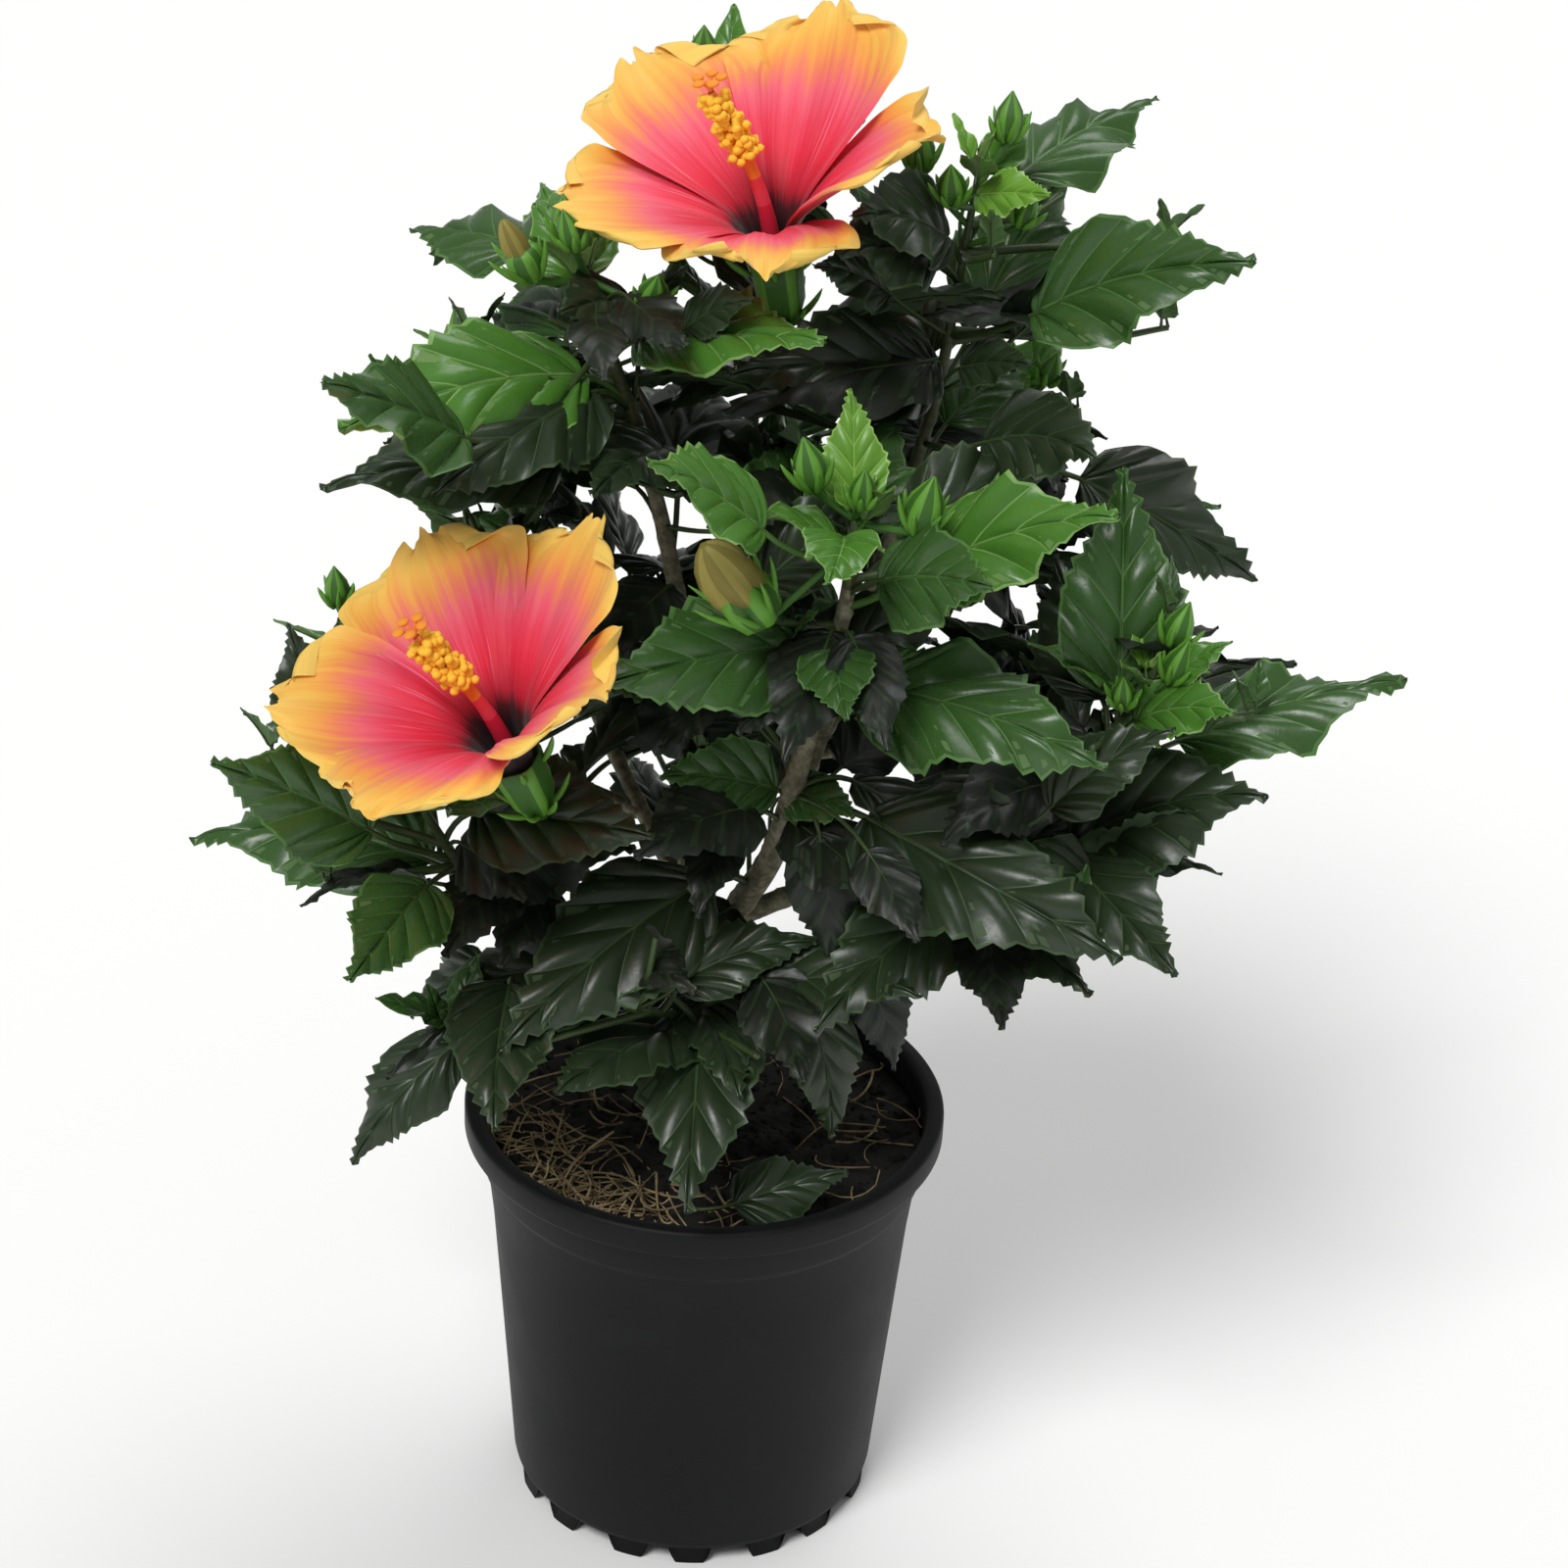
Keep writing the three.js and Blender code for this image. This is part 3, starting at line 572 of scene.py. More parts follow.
LIMBS = [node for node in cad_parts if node.startswith(("main_stem", "stem_", "bough_"))]
limbs = {node: limb_line(node) for node in LIMBS}
print(len(limbs), "limbs, with", sum(len(line) for line, _ in limbs.values()), "rings")

# %% [markdown]
# A bough of the model stops where its mass of leaves begins. The real one goes on inside the leaves, so
# each gets a leader, a thinner shoot that runs on to a point in the mass. That point is given as shares of
# the mass's box, from its lowest corner. At its foot every limb is drawn back into the one it springs from.

# %% Shoots: limbs with their feet and leaders
LEADERS = {
    "stem_front": ("centre", 0.48, 0.56, 0.68),
    "stem_left": ("upper_left", 0.90, 0.33, 0.74),
    "bough_upper_right": ("upper_right", 0.22, 0.49, 0.80),
    "bough_right": ("right", 0.35, 0.57, 0.48),
    "bough_lower_left": ("lower_left", 0.76, 0.50, 0.62),
    "bough_low_left": ("low_left", 0.45, 0.45, 0.60),
    "bough_low_front": ("low_front", 0.40, 0.55, 0.45),
    "bough_back_left": ("back_left", 0.45, 0.45, 0.72),
    "bough_back_right": ("back_right", 0.55, 0.45, 0.72),
    "bough_back_top": ("top_back", 0.50, 0.45, 0.68),
    "bough_back_low": ("back_low", 0.50, 0.55, 0.62),
    "bough_left_back": ("left_back", 0.35, 0.50, 0.66),
    "bough_right_back": ("right_back", 0.62, 0.50, 0.66),
}
LEADER_TIP = 1.1 * MM


def foot_in_parent(node, middles):
    """The nearest point to a limb's foot on the centre line of any other limb."""
    others = [smooth_line(line, 160) for name, (line, _) in limbs.items() if name != node]
    cloud = np.concatenate(others)
    return cloud[np.argmin(np.linalg.norm(cloud - middles[0], axis=1))]


def shoot_of(node):
    """A limb's whole centre line with its radii, from inside its parent to the end of its leader."""
    middles, radii = limbs[node]
    radii = np.minimum.accumulate(radii)
    if node == "main_stem":
        foot = middles[0] - [0, 0, 12 * MM]
    else:
        foot = foot_in_parent(node, middles)
    line, thickness = [foot, *middles[:-1]], [radii[0], *radii[:-1]]
    if node in LEADERS:
        mass, *shares = LEADERS[node]
        low, high = (np.array(corner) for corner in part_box(f"foliage_{mass}"))
        end = low + (high - low) * shares
        line += [middles[-1] * 0.9 + end * 0.1, end]
        thickness += [radii[-1] * 0.95, LEADER_TIP]
    else:
        line += [middles[-1]]
        thickness += [radii[-1]]
    rows = max(12, int(length_of(line) / (1.7 * MM)))
    curve = smooth_line(line, rows)
    return curve, np.interp(np.linspace(0, len(line) - 1, rows), np.arange(len(line)), thickness)


shoots = {node: shoot_of(node) for node in LIMBS}


def on_shoot(name, share):
    """The point at a share of a shoot's length."""
    line = shoots[name][0]
    index = share * (len(line) - 1)
    step = line[int(index) + 1] - line[int(index)]
    return line[int(index)] + step * (index % 1)


# %% [markdown]
# The bark of a young hibiscus is thin and grey-brown, with low ridges along the stem. Each old leaf left a
# swollen ring with a scar on one side, and corky specks dot the rest. All of this is relief on the radius.

# %% Bark relief
def bark_swell(line, sides, seed):
    """Radius factor round a limb: 1 + ridges along it + a swelling at each joint + scars and specks.

    A ridge is a sine of the turn that wanders with length, and a swelling is a bell curve along the limb."""
    draw = np.random.default_rng(seed)
    length = np.concatenate([[0], np.cumsum(np.linalg.norm(np.diff(line, axis=0), axis=1))])[:, None]
    turn = np.linspace(0, ONE_TURN, sides, endpoint=False)[None]
    wander = np.sin(length / (17 * MM) + draw.uniform(0, 6)) + 0.6 * np.sin(length / (7 * MM))
    swell = 0.035 * np.sin(5 * turn + wander) + 0.02 * np.sin(9 * turn - 1.7 * wander + 1)
    joints = np.arange(draw.uniform(8, 20), length[-1, 0] / MM, 21) * MM
    joints = joints + draw.normal(0, 2.5, len(joints)) * MM
    scar_turns = np.arange(len(joints)) * GOLDEN
    along = (length - joints[None]) / (1.9 * MM)
    swell = swell + 0.10 * np.exp(-(along**2)).sum(axis=1, keepdims=True)
    facing = np.cos(turn[:, None, :] - scar_turns[None, :, None])
    scars = np.exp(-(((along + 0.6) / 0.8) ** 2))[:, :, None] * np.maximum(facing, 0) ** 6
    swell = swell + 0.22 * scars.sum(axis=1)
    specks = draw.uniform(size=(len(line), sides)) > 0.965
    return 1 + swell + 0.07 * specks + draw.normal(0, 0.008, (len(line), sides))


THICK_LIMB, YOUNG_LIMB, GREEN_LIMB = 4.5 * MM, 2.3 * MM, 1.7 * MM  # radii where sides or bark change
STEM_FOOT = 146 * MM  # the main stem flares out towards this height
bark_heap = Heap()
for number, node in enumerate(LIMBS):
    line, radii = shoots[node]
    sides = 28 if radii[0] > THICK_LIMB else 18
    swell = bark_swell(line, sides, seed=100 + number)
    if node == "main_stem":
        swell += 0.16 * np.exp(-(line[:, 2:] - STEM_FOOT) / (9 * MM)).clip(0, 1)
    add_tubes(bark_heap, line[None], radii[None], sides, swell=swell[None])
    thickness = np.repeat(radii[:-1], sides)
    bark_heap.quad_finish[-1] = (thickness < YOUNG_LIMB).astype(int) + (thickness < GREEN_LIMB)

# Old bark is grey-brown and rough, bark of last season olive, and the newest skin is green and smooth with
# a soft shine. Their mottle is a few millimetres wide.
woody_bark = new_finish(
    "woody_bark", stops=[(0.28, "#454130"), (0.46, "#6A6650"), (0.6, "#87836C"), (0.8, "#A29E88")],
    grain=(3.5, 5, 0.65), depth=(0.35, 0.7), Roughness=0.78,
)
young_bark = new_finish(
    "young_bark", stops=[(0.3, "#2A2E1A"), (0.55, "#454A2B"), (0.75, "#65653F")],
    grain=(4, 4), depth=(0.2, 0.5), Roughness=0.62,
)
shoot_green, stalk_green = (
    new_finish(name, colour, grain=[2.5], dulling=(0.4, 0.6), depth=(0.1, 0.4), Roughness=0.48)
    for name, colour in (("shoot_green", "#35481F"), ("stalk_green", "#466B2B"))
)
make_piece("stems_and_boughs", bark_heap, [woody_bark, young_bark, shoot_green], LIMBS)

# %% [markdown]
# ## Where the leaves may grow
# The masses of the model say where the crown is full and where one sees through it. Each mass becomes a
# search tree, which tells how deep a point lies inside. The two blooms become cones that leaves keep out of.

# %% Masses and blooms as places
MASSES = [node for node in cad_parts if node.startswith("foliage_")]
BEHIND = [node for node in MASSES if "back" in node]


mass_trees = {}
for node in MASSES:
    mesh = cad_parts[node].data
    polygons = [polygon.vertices for polygon in mesh.polygons]
    mass_trees[node] = BVHTree.FromPolygons([vertex.co for vertex in mesh.vertices], polygons)


def depth_in(node, point):
    """How deep a point lies in a mass, in metres; negative outside."""
    near, normal, _, distance = mass_trees[node].find_nearest(Vector(point))
    return distance if (near - Vector(point)).dot(normal) > 0 else -distance


def deepest(point):
    """The mass that a point lies deepest in, or is nearest to, and how deep."""
    depths = {node: depth_in(node, point) for node in MASSES}
    best = max(depths, key=depths.get)
    return best, depths[best]


def flower_place(node):
    """A bloom's throat and its axis: its solid is widest across the axis, and its foot is on the low side."""
    corners = corners_of(node)
    middle = corners.mean(axis=0)
    axis = np.linalg.svd(corners - middle)[2][2]
    axis = axis * np.sign(axis[2])
    return middle - 5.5 * MM * axis, axis


BLOOMS = {node: flower_place(node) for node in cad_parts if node.startswith("bloom_")}
BLOOM_RADIUS, BLOOM_DEPTH = 62 * MM, 66 * MM


def in_a_bloom(points):
    """Whether any of the points lies in front of a cone behind a bloom's petals, and near the bloom."""
    for throat, axis in BLOOMS.values():
        away = points - throat
        along = away @ axis
        across = np.linalg.norm(away - along[..., None] * axis, axis=-1)
        cone = 0.5 * across - 14 * MM
        if np.any((across < BLOOM_RADIUS) & (along > cone) & (along < BLOOM_DEPTH)):
            return True
    return False


print({node: np.round(place[0] / MM).tolist() for node, place in BLOOMS.items()})

# %% [markdown]
# ## Leaves
# A hibiscus leaf is a pointed oval with coarse teeth that lean towards the tip. Three to five veins part
# at its foot and the others leave the midrib in pairs, and each ends in a tooth. The blade bulges between
# them. So the grid of a leaf isn't square: its rows run along the side veins, from the midrib out to the
# edge. Every leaf shares this grid, and numpy works out all of them in one go.

# %% One leaf's grid
def sheet_faces(rows, columns, ends=False):
    """Faces of a thin closed sheet over and under, and its rim: inner corners are doubled, edges are shared.

    The rim is the two long edges, with the ends too if they are wide."""
    over = np.arange(rows * columns).reshape(rows, columns)
    under = over.copy()
    inner = (rows - 2, columns - 2)
    under[1:-1, 1:-1] = over.size + np.arange(inner[0] * inner[1]).reshape(inner)
    edges = [over[:, 0], over[:, -1]] + ([over[0], over[-1]] if ends else [])
    rim = np.isin(np.arange(over.size + inner[0] * inner[1]), np.concatenate(edges))
    faces = [
        np.stack([sheet[:-1, 1:], sheet[:-1, :-1], sheet[1:, :-1], sheet[1:, 1:]], axis=-1).reshape(-1, 4)
        for sheet in (over, under)
    ]
    return faces[0], faces[1][:, ::-1], rim


def in_cell(places, edge=0.04):
    """Flat places between 0 and 1, drawn in a little so that neighbours on the map stay apart."""
    return places * (1 - 2 * edge) + edge


class LeafGrid:
    """Rows along the side veins, with some between each two, and columns from edge to midrib to edge."""

    def __init__(self, veins, between, half_columns):
        self.columns = np.concatenate([-np.array(half_columns[::-1]), [0], half_columns])
        self.t = np.array([(k + p) / veins for k in range(veins) for p in between] + [1.0])
        self.veins = veins
        self.top, self.under, self.rim = sheet_faces(len(self.t), len(self.columns))
        part = np.round((self.t * veins) % 1, 3)
        vein_row = (part[:-1] >= 0.759) & (part[:-1] < 0.83)
        middle = np.abs(self.columns[:-1] + self.columns[1:]) / 2
        self.is_vein = ((vein_row[:, None] & (middle < 0.9)) | (middle < 0.03) | (middle > 0.96)).ravel()
        places = np.stack(np.meshgrid(self.columns / 2 + 0.5, self.t), axis=-1).reshape(-1, 2)
        self.face_map = in_cell(places)[self.top]


BIG_LEAF = LeafGrid(7, (0.05, 0.3, 0.55, 0.76, 0.8, 0.84), (0.035, 0.22, 0.45, 0.7, 0.955, 1.0))
INNER_LEAF = LeafGrid(6, (0.05, 0.3, 0.55, 0.8), (0.4, 0.8, 1.0))
SMALL_LEAF = LeafGrid(5, (0.3, 0.76, 0.8, 0.84), (0.06, 0.5, 0.955, 1.0))
for name, grid in (("big", BIG_LEAF), ("inner", INNER_LEAF), ("small", SMALL_LEAF)):
    print(f"faces of a {name} leaf", 2 * len(grid.top))

# %% [markdown]
# The shape of a leaf is put together from what a leaf does: it widens, it bends down along its midrib, it
# folds or cups across, its edge waves, and it bulges between the veins. Each of these is one term.

# %% The shape of leaves
WINDOW = heading(math.radians(-90), math.radians(28))  # the way from which the light of the room comes


MOST_ROLL = 1.3


def roll_to_face(turn, lift, aim, share):
    """The roll about the midrib that turns a blade's face so much of the way towards an aim."""
    level = np.array([-math.sin(turn), math.cos(turn), 0])
    normal = np.cross(heading(turn, lift), level)
    return share * np.clip(math.atan2(-(level @ aim), normal @ aim), -MOST_ROLL, MOST_ROLL)


MIDRIB_STEPS = 40


def midribs(leaves, stations):
    """Points, sides and normals along each leaf's midrib.

    The rise falls evenly from lift + droop / 2 to lift - droop / 2, and the point is the sum of the steps."""
    fine = np.linspace(0, 1, MIDRIB_STEPS + 1)
    rise = leaves["lift"][:, None] + leaves["droop"][:, None] * (0.5 - fine)
    sway = leaves["wave"] * 6 * np.sin(leaves["phase"])
    turn = leaves["turn"][:, None] + sway[:, None] * (fine - 0.4)
    way = heading(turn, rise)
    steps = (way[:, 1:] + way[:, :-1]) / 2 * leaves["length"][:, None, None] / MIDRIB_STEPS
    path = np.concatenate([np.zeros_like(way[:, :1]), np.cumsum(steps, axis=1)], axis=1)
    points = path + leaves["base"][:, None]
    at = np.clip(stations, 0, 1) * MIDRIB_STEPS
    low = np.minimum(at.astype(int), MIDRIB_STEPS - 1)
    share = (at - low)[..., None]
    each = (-1, *[1] * (stations.ndim - 1))
    row = np.arange(len(points)).reshape(each)
    place = points[row, low] * (1 - share) + points[row, low + 1] * share
    way = unit(way[row, low] * (1 - share) + way[row, low + 1] * share)
    turn_here = turn[row, low]
    level = np.stack([-np.sin(turn_here), np.cos(turn_here), np.zeros_like(turn_here)], axis=-1)
    normal = np.cross(way, level)
    roll = leaves["roll"].reshape(each) + 0.3 * np.sin(leaves["phase"]).reshape(each) * (stations - 0.3)
    cosine, sine = np.cos(roll)[..., None], np.sin(roll)[..., None]
    side = level * cosine + normal * sine
    return place, side, np.cross(way, side)


def leaf_points(leaves, grid):
    """All corners of all leaves: top sheet, then the inner corners of the sheet below it.

    half width = width * sin(pi * g^0.62)^(0.85 + 0.5 g) * (1 - 0.22 g), with g the share of the length at
    the edge, plus lobes and teeth. height = bulges - midrib + waves of the edge + curled teeth - cupping +
    fold. Each is a share of the leaf's length."""
    t, c = grid.t[:, None], grid.columns[None, :]
    part = (t * grid.veins) % 1
    # veins thin outwards
    t = t + (0.8 - part) / grid.veins * 0.8 * np.abs(c) * ((part > 0.75) & (part < 0.85))
    g = t**0.85
    f = np.where(t < 0.3, 0.02 * t / 0.3, 0.02 + 0.98 * np.clip((t - 0.3) / 0.7, 0, 1) ** 1.12)
    part = (t * grid.veins) % 1
    tooth = 0.5 + 0.5 * np.cos(ONE_TURN * (2 * part - 0.6))
    tooth = tooth * np.clip((g - 0.2) / 0.25, 0, 1) * (1 - 0.3 * g) * (g < 0.995)
    outer = np.abs(c) ** 3
    length, width, fold, wave, phase = (
        leaves[name][:, None, None] for name in ("length", "width", "fold", "wave", "phase")
    )
    tooth_size = 0.027 * (0.8 + 0.75 * np.sin(7 * phase + 14 * t + 2 * np.sign(c)))
    outline = np.sin(np.pi * g**0.62) ** (0.85 + 0.5 * g) * (1 - 0.22 * g)
    lobes = 1 + 0.065 * np.sin(17 * g + 3 * phase + 2 * np.sign(c)) * g
    half = width * length * outline * lobes + 0.4 * MM + tooth_size * length * tooth * outer
    station = f + (g - f) * np.abs(c) ** 0.9 + 0.012 * tooth * outer
    place, side, normal = midribs(leaves, np.broadcast_to(station, half.shape))
    lateral = half * c
    bulge = np.sin(np.pi * ((part - 0.8) % 1)) ** 0.8 * np.sin(np.pi * np.abs(c) ** 0.8) ** 0.7
    rib = 0.006 * np.exp(-((c / 0.06) ** 2))
    edge_wave = np.sin(ONE_TURN * 2.1 * g + phase + 1.9 * np.sign(c))
    edge_wave = edge_wave + 0.45 * np.sin(ONE_TURN * 4.6 * g + 2.3 * phase - np.sign(c))
    edge_wave = wave * edge_wave * np.abs(c) ** 1.8 * np.sin(np.pi * g**0.8) ** 0.5
    curled_teeth = 0.012 * (tooth - 0.4) * outer * np.sin(3 * phase + 5 * t)
    cupping = 0.15 * c**2 * g * (1 - g)
    height = length * (0.025 * bulge - rib + edge_wave + curled_teeth - cupping)
    height = height + fold * np.abs(lateral) * (1 - 0.35 * np.abs(c))
    top = place + lateral[..., None] * side + height[..., None] * normal
    under = top[:, 1:-1, 1:-1] - 0.3 * MM * normal[:, 1:-1, 1:-1]
    count = len(leaves["length"])
    return np.concatenate([top.reshape(count, -1, 3), under.reshape(count, -1, 3)], axis=1)


def add_leaves(heap, leaves, grid):
    """Adds leaves to a heap: finishes are blade, vein and underside for each tone in turn."""
    points = leaf_points(leaves, grid)
    count, each = points.shape[:2]
    shift = (np.arange(count) * each)[:, None, None]
    quads = np.concatenate([grid.top, grid.under]) + shift
    tone = leaves["tone"].astype(int)[:, None] * 3
    finish = tone + np.concatenate([grid.is_vein, np.full_like(grid.is_vein, 2, int)])
    cells = math.ceil(math.sqrt(2 * count))
    cell = np.arange(2 * count).reshape(count, 2)
    corner = np.stack([cell % cells, cell // cells], axis=-1)[:, :, None, None, :]
    face_map = ((grid.face_map + corner) / cells).reshape(-1, 4, 2)
    rim = np.tile(grid.rim, count)
    heap.add(points, quads.reshape(-1, 4), finish=finish.ravel(), face_map=face_map, rim=rim)

# %% [markdown]
# ## Growing the leaves
# The outer leaves that make this shrub's outline are set one by one, as a maker of a silk plant would: each
# row is a leaf on its shoot. The rest grow by a rule. Twigs reach from the limbs into the masses, and every
# shoot then carries a leaf at each joint, each turned a golden angle from the last one.

# %% Leaves set one by one
# share of the shoot, stalk in mm, rise of the stalk, azimuth and lift of the blade in degrees, blade in mm,
# tone (0 young, 1 fresh, 2 mature, 3 deep, 4 shaded); a last number is how far the face turns to the window
# the deep and shaded tones are partly painted shade, for leaves that stand in shade
SET_LEAVES = {
    "stem_left": [
        (0.77, 25, 40, 220, 0, 92, 1), (0.86, 70, -10, 235, 30, 70, 2, 0.5),
        (0.90, 35, 15, 130, -10, 70, 2, 0.4),
        (0.90, 30, -5, 105, 10, 70, 1), (0.81, 35, 5, 130, -5, 40, 3), (0.84, 15, 40, 320, 15, 80, 1, 0.4),
        (0.69, 35, 15, 212, 5, 85, 3, 0.4), (0.58, 45, 80, 250, 5, 60, 3), (0.66, 10, 60, 75, 5, 75, 3),
        (0.77, 25, 30, 235, -10, 75, 3), (0.93, 20, 0, 280, -15, 35, 4), (0.89, 25, 35, 300, -5, 40, 4),
        (0.77, 40, 85, 245, 10, 45, 3), (0.54, 10, 40, 245, -10, 50, 4), (0.84, 15, 55, 320, 50, 35, 3),
        (0.83, 40, 35, 315, 30, 35, 3),
    ],
    "bough_upper_right": [
        (0.91, 35, 25, 325, 25, 85, 2), (0.96, 30, 35, 50, 10, 75, 2, 0.3), (0.86, 30, 35, 60, 30, 75, 2),
        (0.95, 15, 50, 235, 20, 60, 3), (0.95, 25, 80, 315, 15, 32, 0), (0.87, 10, 65, 120, 30, 38, 3),
        (0.85, 20, 50, 305, 20, 38, 3), (0.86, 6, 80, 215, 10, 85, 3), (0.94, 20, 40, 235, 15, 60, 3),
        (0.88, 6, 60, 220, 0, 90, 4, 0.35), (0.74, 55, -5, 5, -30, 75, 3), (0.77, 35, 20, 305, 15, 62, 3),
        (0.91, 35, 35, 225, 25, 40, 3),
    ],
    "stem_front": [
        (0.84, 50, 30, 230, 35, 65, 1), (0.78, 25, 35, 330, 30, 84, 1), (0.84, 10, 50, 85, 15, 75, 2),
        (0.84, 18, 85, 100, 66, 38, 0), (0.80, 40, 50, 265, 5, 45, 1), (0.68, 15, 40, 220, 5, 82, 2, 0.6),
        (0.80, 30, 35, 35, 10, 58, 3), (0.62, 20, 25, 325, 0, 90, 2, 0.4), (0.80, 20, 35, 305, 20, 60, 2),
        (0.45, 30, 0, 325, -10, 100, 3, 0.5), (0.27, 25, 25, 225, -20, 95, 3), (0.24, 6, 0, 235, -5, 60, 4),
        (0.43, 8, 45, 215, 20, 50, 2), (0.33, 25, 80, 315, 10, 35, 2), (0.66, 30, 40, 275, -5, 42, 2),
        (0.39, 25, 35, 235, 5, 60, 4, 0.5), (0.32, 25, 60, 305, -5, 60, 4, 0.5), (0.42, 30, 5, 55, 5, 45, 4),
        (0.46, 30, 40, 145, -25, 65, 4), (0.72, 10, 45, 255, -25, 55, 4), (0.72, 20, 30, 285, -20, 50, 4),
        (0.64, 5, 50, 240, 0, 50, 4), (0.39, 25, 20, 300, -75, 48, 4), (0.44, 50, 5, 300, -25, 38, 4),
        (0.26, 45, 60, 255, -20, 45, 4, 0.5),
    ],
    "bough_right": [
        (0.86, 30, 20, 10, 15, 80, 2, 0.6), (0.92, 12, 80, 95, 66, 76, 2), (0.90, 15, 60, 105, 20, 70, 3),
        (0.93, 25, 55, 330, 45, 26, 1), (0.89, 20, 55, 315, 25, 46, 1), (0.69, 20, 20, 335, 30, 80, 3),
        (0.74, 25, 10, 295, -5, 70, 3), (0.69, 25, -15, 230, -15, 80, 3), (0.47, 30, 0, 315, -5, 60, 3),
        (0.62, 35, -10, 275, -10, 50, 4), (0.83, 15, 30, 230, 0, 62, 4), (0.45, 35, 75, 40, 0, 60, 4),
    ],
    "bough_lower_left": [
        (0.87, 35, 30, 215, 35, 68, 2), (0.71, 25, 30, 165, -5, 90, 2, 0.45), (0.85, 30, 15, 255, 0, 65, 2),
        (0.90, 20, 50, 330, 10, 70, 3), (0.96, 50, 15, 150, 80, 40, 3), (0.81, 6, 35, 335, 25, 65, 4),
        (0.63, 30, 65, 255, -5, 55, 4), (0.89, 10, 35, 305, 0, 45, 4), (0.53, 30, 60, 255, -10, 45, 4),
    ],
    "bough_low_left": [
        (0.69, 40, -10, 200, -50, 58, 3, 0.5), (0.84, 30, 50, 270, -15, 65, 3),
        (0.67, 35, 15, 160, -45, 42, 3),
    ],
    "bough_low_front": [(0.47, 28, 60, 270, -25, 86, 3, 0.35)],
    "main_stem": [
        (0.94, 50, 0, 315, -75, 50, 3), (0.98, 55, 0, 340, -70, 38, 4), (0.98, 50, 15, 290, -15, 50, 4),
    ],
}
SHADED = 4


class Grown:
    """The leaves so far: one row for each, and the stalk's foot beside it."""

    def __init__(self):
        self.rows, self.feet, self.middles = [], [], []

    def add(self, foot, base, turn, lift, length, tone, droop=(0.35, 1.0), aim=None, share=0.6):
        """Adds a leaf that rolls towards its aim, or out of the crown; its bend, fold and waves are drawn."""
        middle = base + heading(turn, lift) * length * 0.5
        aim = heading(math.atan2(middle[1], middle[0]), 0.5) if aim is None else aim
        row = {
            "base": base, "turn": turn, "lift": lift, "length": length, "tone": tone,
            "roll": roll_to_face(turn, lift, aim, share) + chance.normal(0, 0.12),
            "droop": chance.uniform(*droop),
            "fold": chance.uniform(-0.05, 0.34),
            "wave": chance.uniform(0.028, 0.06),
            "phase": chance.uniform(0, 6.28),
            "width": chance.uniform(0.24, 0.305),
        }
        self.rows.append(row)
        self.feet.append(foot)
        self.middles.append(middle)

    def arrays(self, chosen=None):
        """Each field of the chosen leaves as one array."""
        rows = self.rows if chosen is None else [self.rows[i] for i in chosen]
        return {name: np.array([row[name] for row in rows]) for name in rows[0]}


USUAL_FACING = [0.8]
leaves = Grown()
for shoot, rows in SET_LEAVES.items():
    for share, stalk, rise, turn, lift, length, tone, *facing in rows:
        foot = on_shoot(shoot, share)
        rise, turn, lift = np.radians([rise, turn, lift])
        base = foot + stalk * MM * heading(turn, rise)
        leaves.add(foot, base, turn, lift, length * MM, tone, (0.2, 0.65), WINDOW, *(facing or USUAL_FACING))
loose = np.array([12, -65, 156]) * MM  # one old leaf lies on the compost, against the rim
leaves.add(loose - np.array([13, 0, 3]) * MM, loose, 0.35, 0.14, 42 * MM, 3, (0.1, 0.3))
print("leaves set by hand", len(leaves.rows))

# %% [markdown]
# Twigs are what carries leaves to the far side of each mass. Points are scattered in a mass, and a twig
# grows to each from the nearest place on a limb, as long as the point isn't crowded by another twig.

# %% Twigs
chance = np.random.default_rng(8)  # twigs and all that grows on them keep their own seed
TWIGS_FOR = {node: (9 if node in BEHIND else 4) for node in MASSES}
TWIG_DEPTH, TWIG_SPACING, NEIGHBOURHOOD = 12 * MM, 24 * MM, 70 * MM
SHORTEST_TWIG, LONGEST_TWIG = 14 * MM, 95 * MM
TWIG_POINTS = 26
twigs = []


def scatter_in(node, count, depth):
    """Random points of a mass that lie at least so deep in it."""
    low, high = (np.array(corner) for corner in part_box(node))
    found = []
    for point in chance.uniform(low, high, (count * 40, 3)):
        if depth_in(node, point) > depth:
            found.append(point)
        if len(found) == count:
            break
    return found


def grow_twig(end):
    """A curved twig from the nearest limb point that isn't above its end, bent up towards the light."""
    cloud = np.concatenate([line[len(line) // 4 :] for line, _ in shoots.values()])
    below = cloud[cloud[:, 2] < end[2] - 4 * MM]
    if not len(below):
        return None
    start = below[np.argmin(np.linalg.norm(below - end, axis=1))]
    reach = np.linalg.norm(end - start)
    if not SHORTEST_TWIG <= reach <= LONGEST_TWIG:
        return None
    bend = start + (end - start) * [0.62, 0.62, 0.35] + chance.normal(0, 0.05, 3) * reach
    return smooth_line([start, bend, end], TWIG_POINTS)


for node in MASSES:
    for end in scatter_in(node, TWIGS_FOR[node] * 3, TWIG_DEPTH):
        crowd = [twig[-1] for twig in twigs] + [line[-1] for line, _ in shoots.values()]
        if min(np.linalg.norm(np.array(crowd) - end, axis=1)) < TWIG_SPACING:
            continue
        twig = grow_twig(end)
        near = sum(np.linalg.norm(other[-1] - end) < NEIGHBOURHOOD for other in twigs)
        if twig is not None and near < TWIGS_FOR[node] + 2:
            twigs.append(twig)
print("twigs", len(twigs))
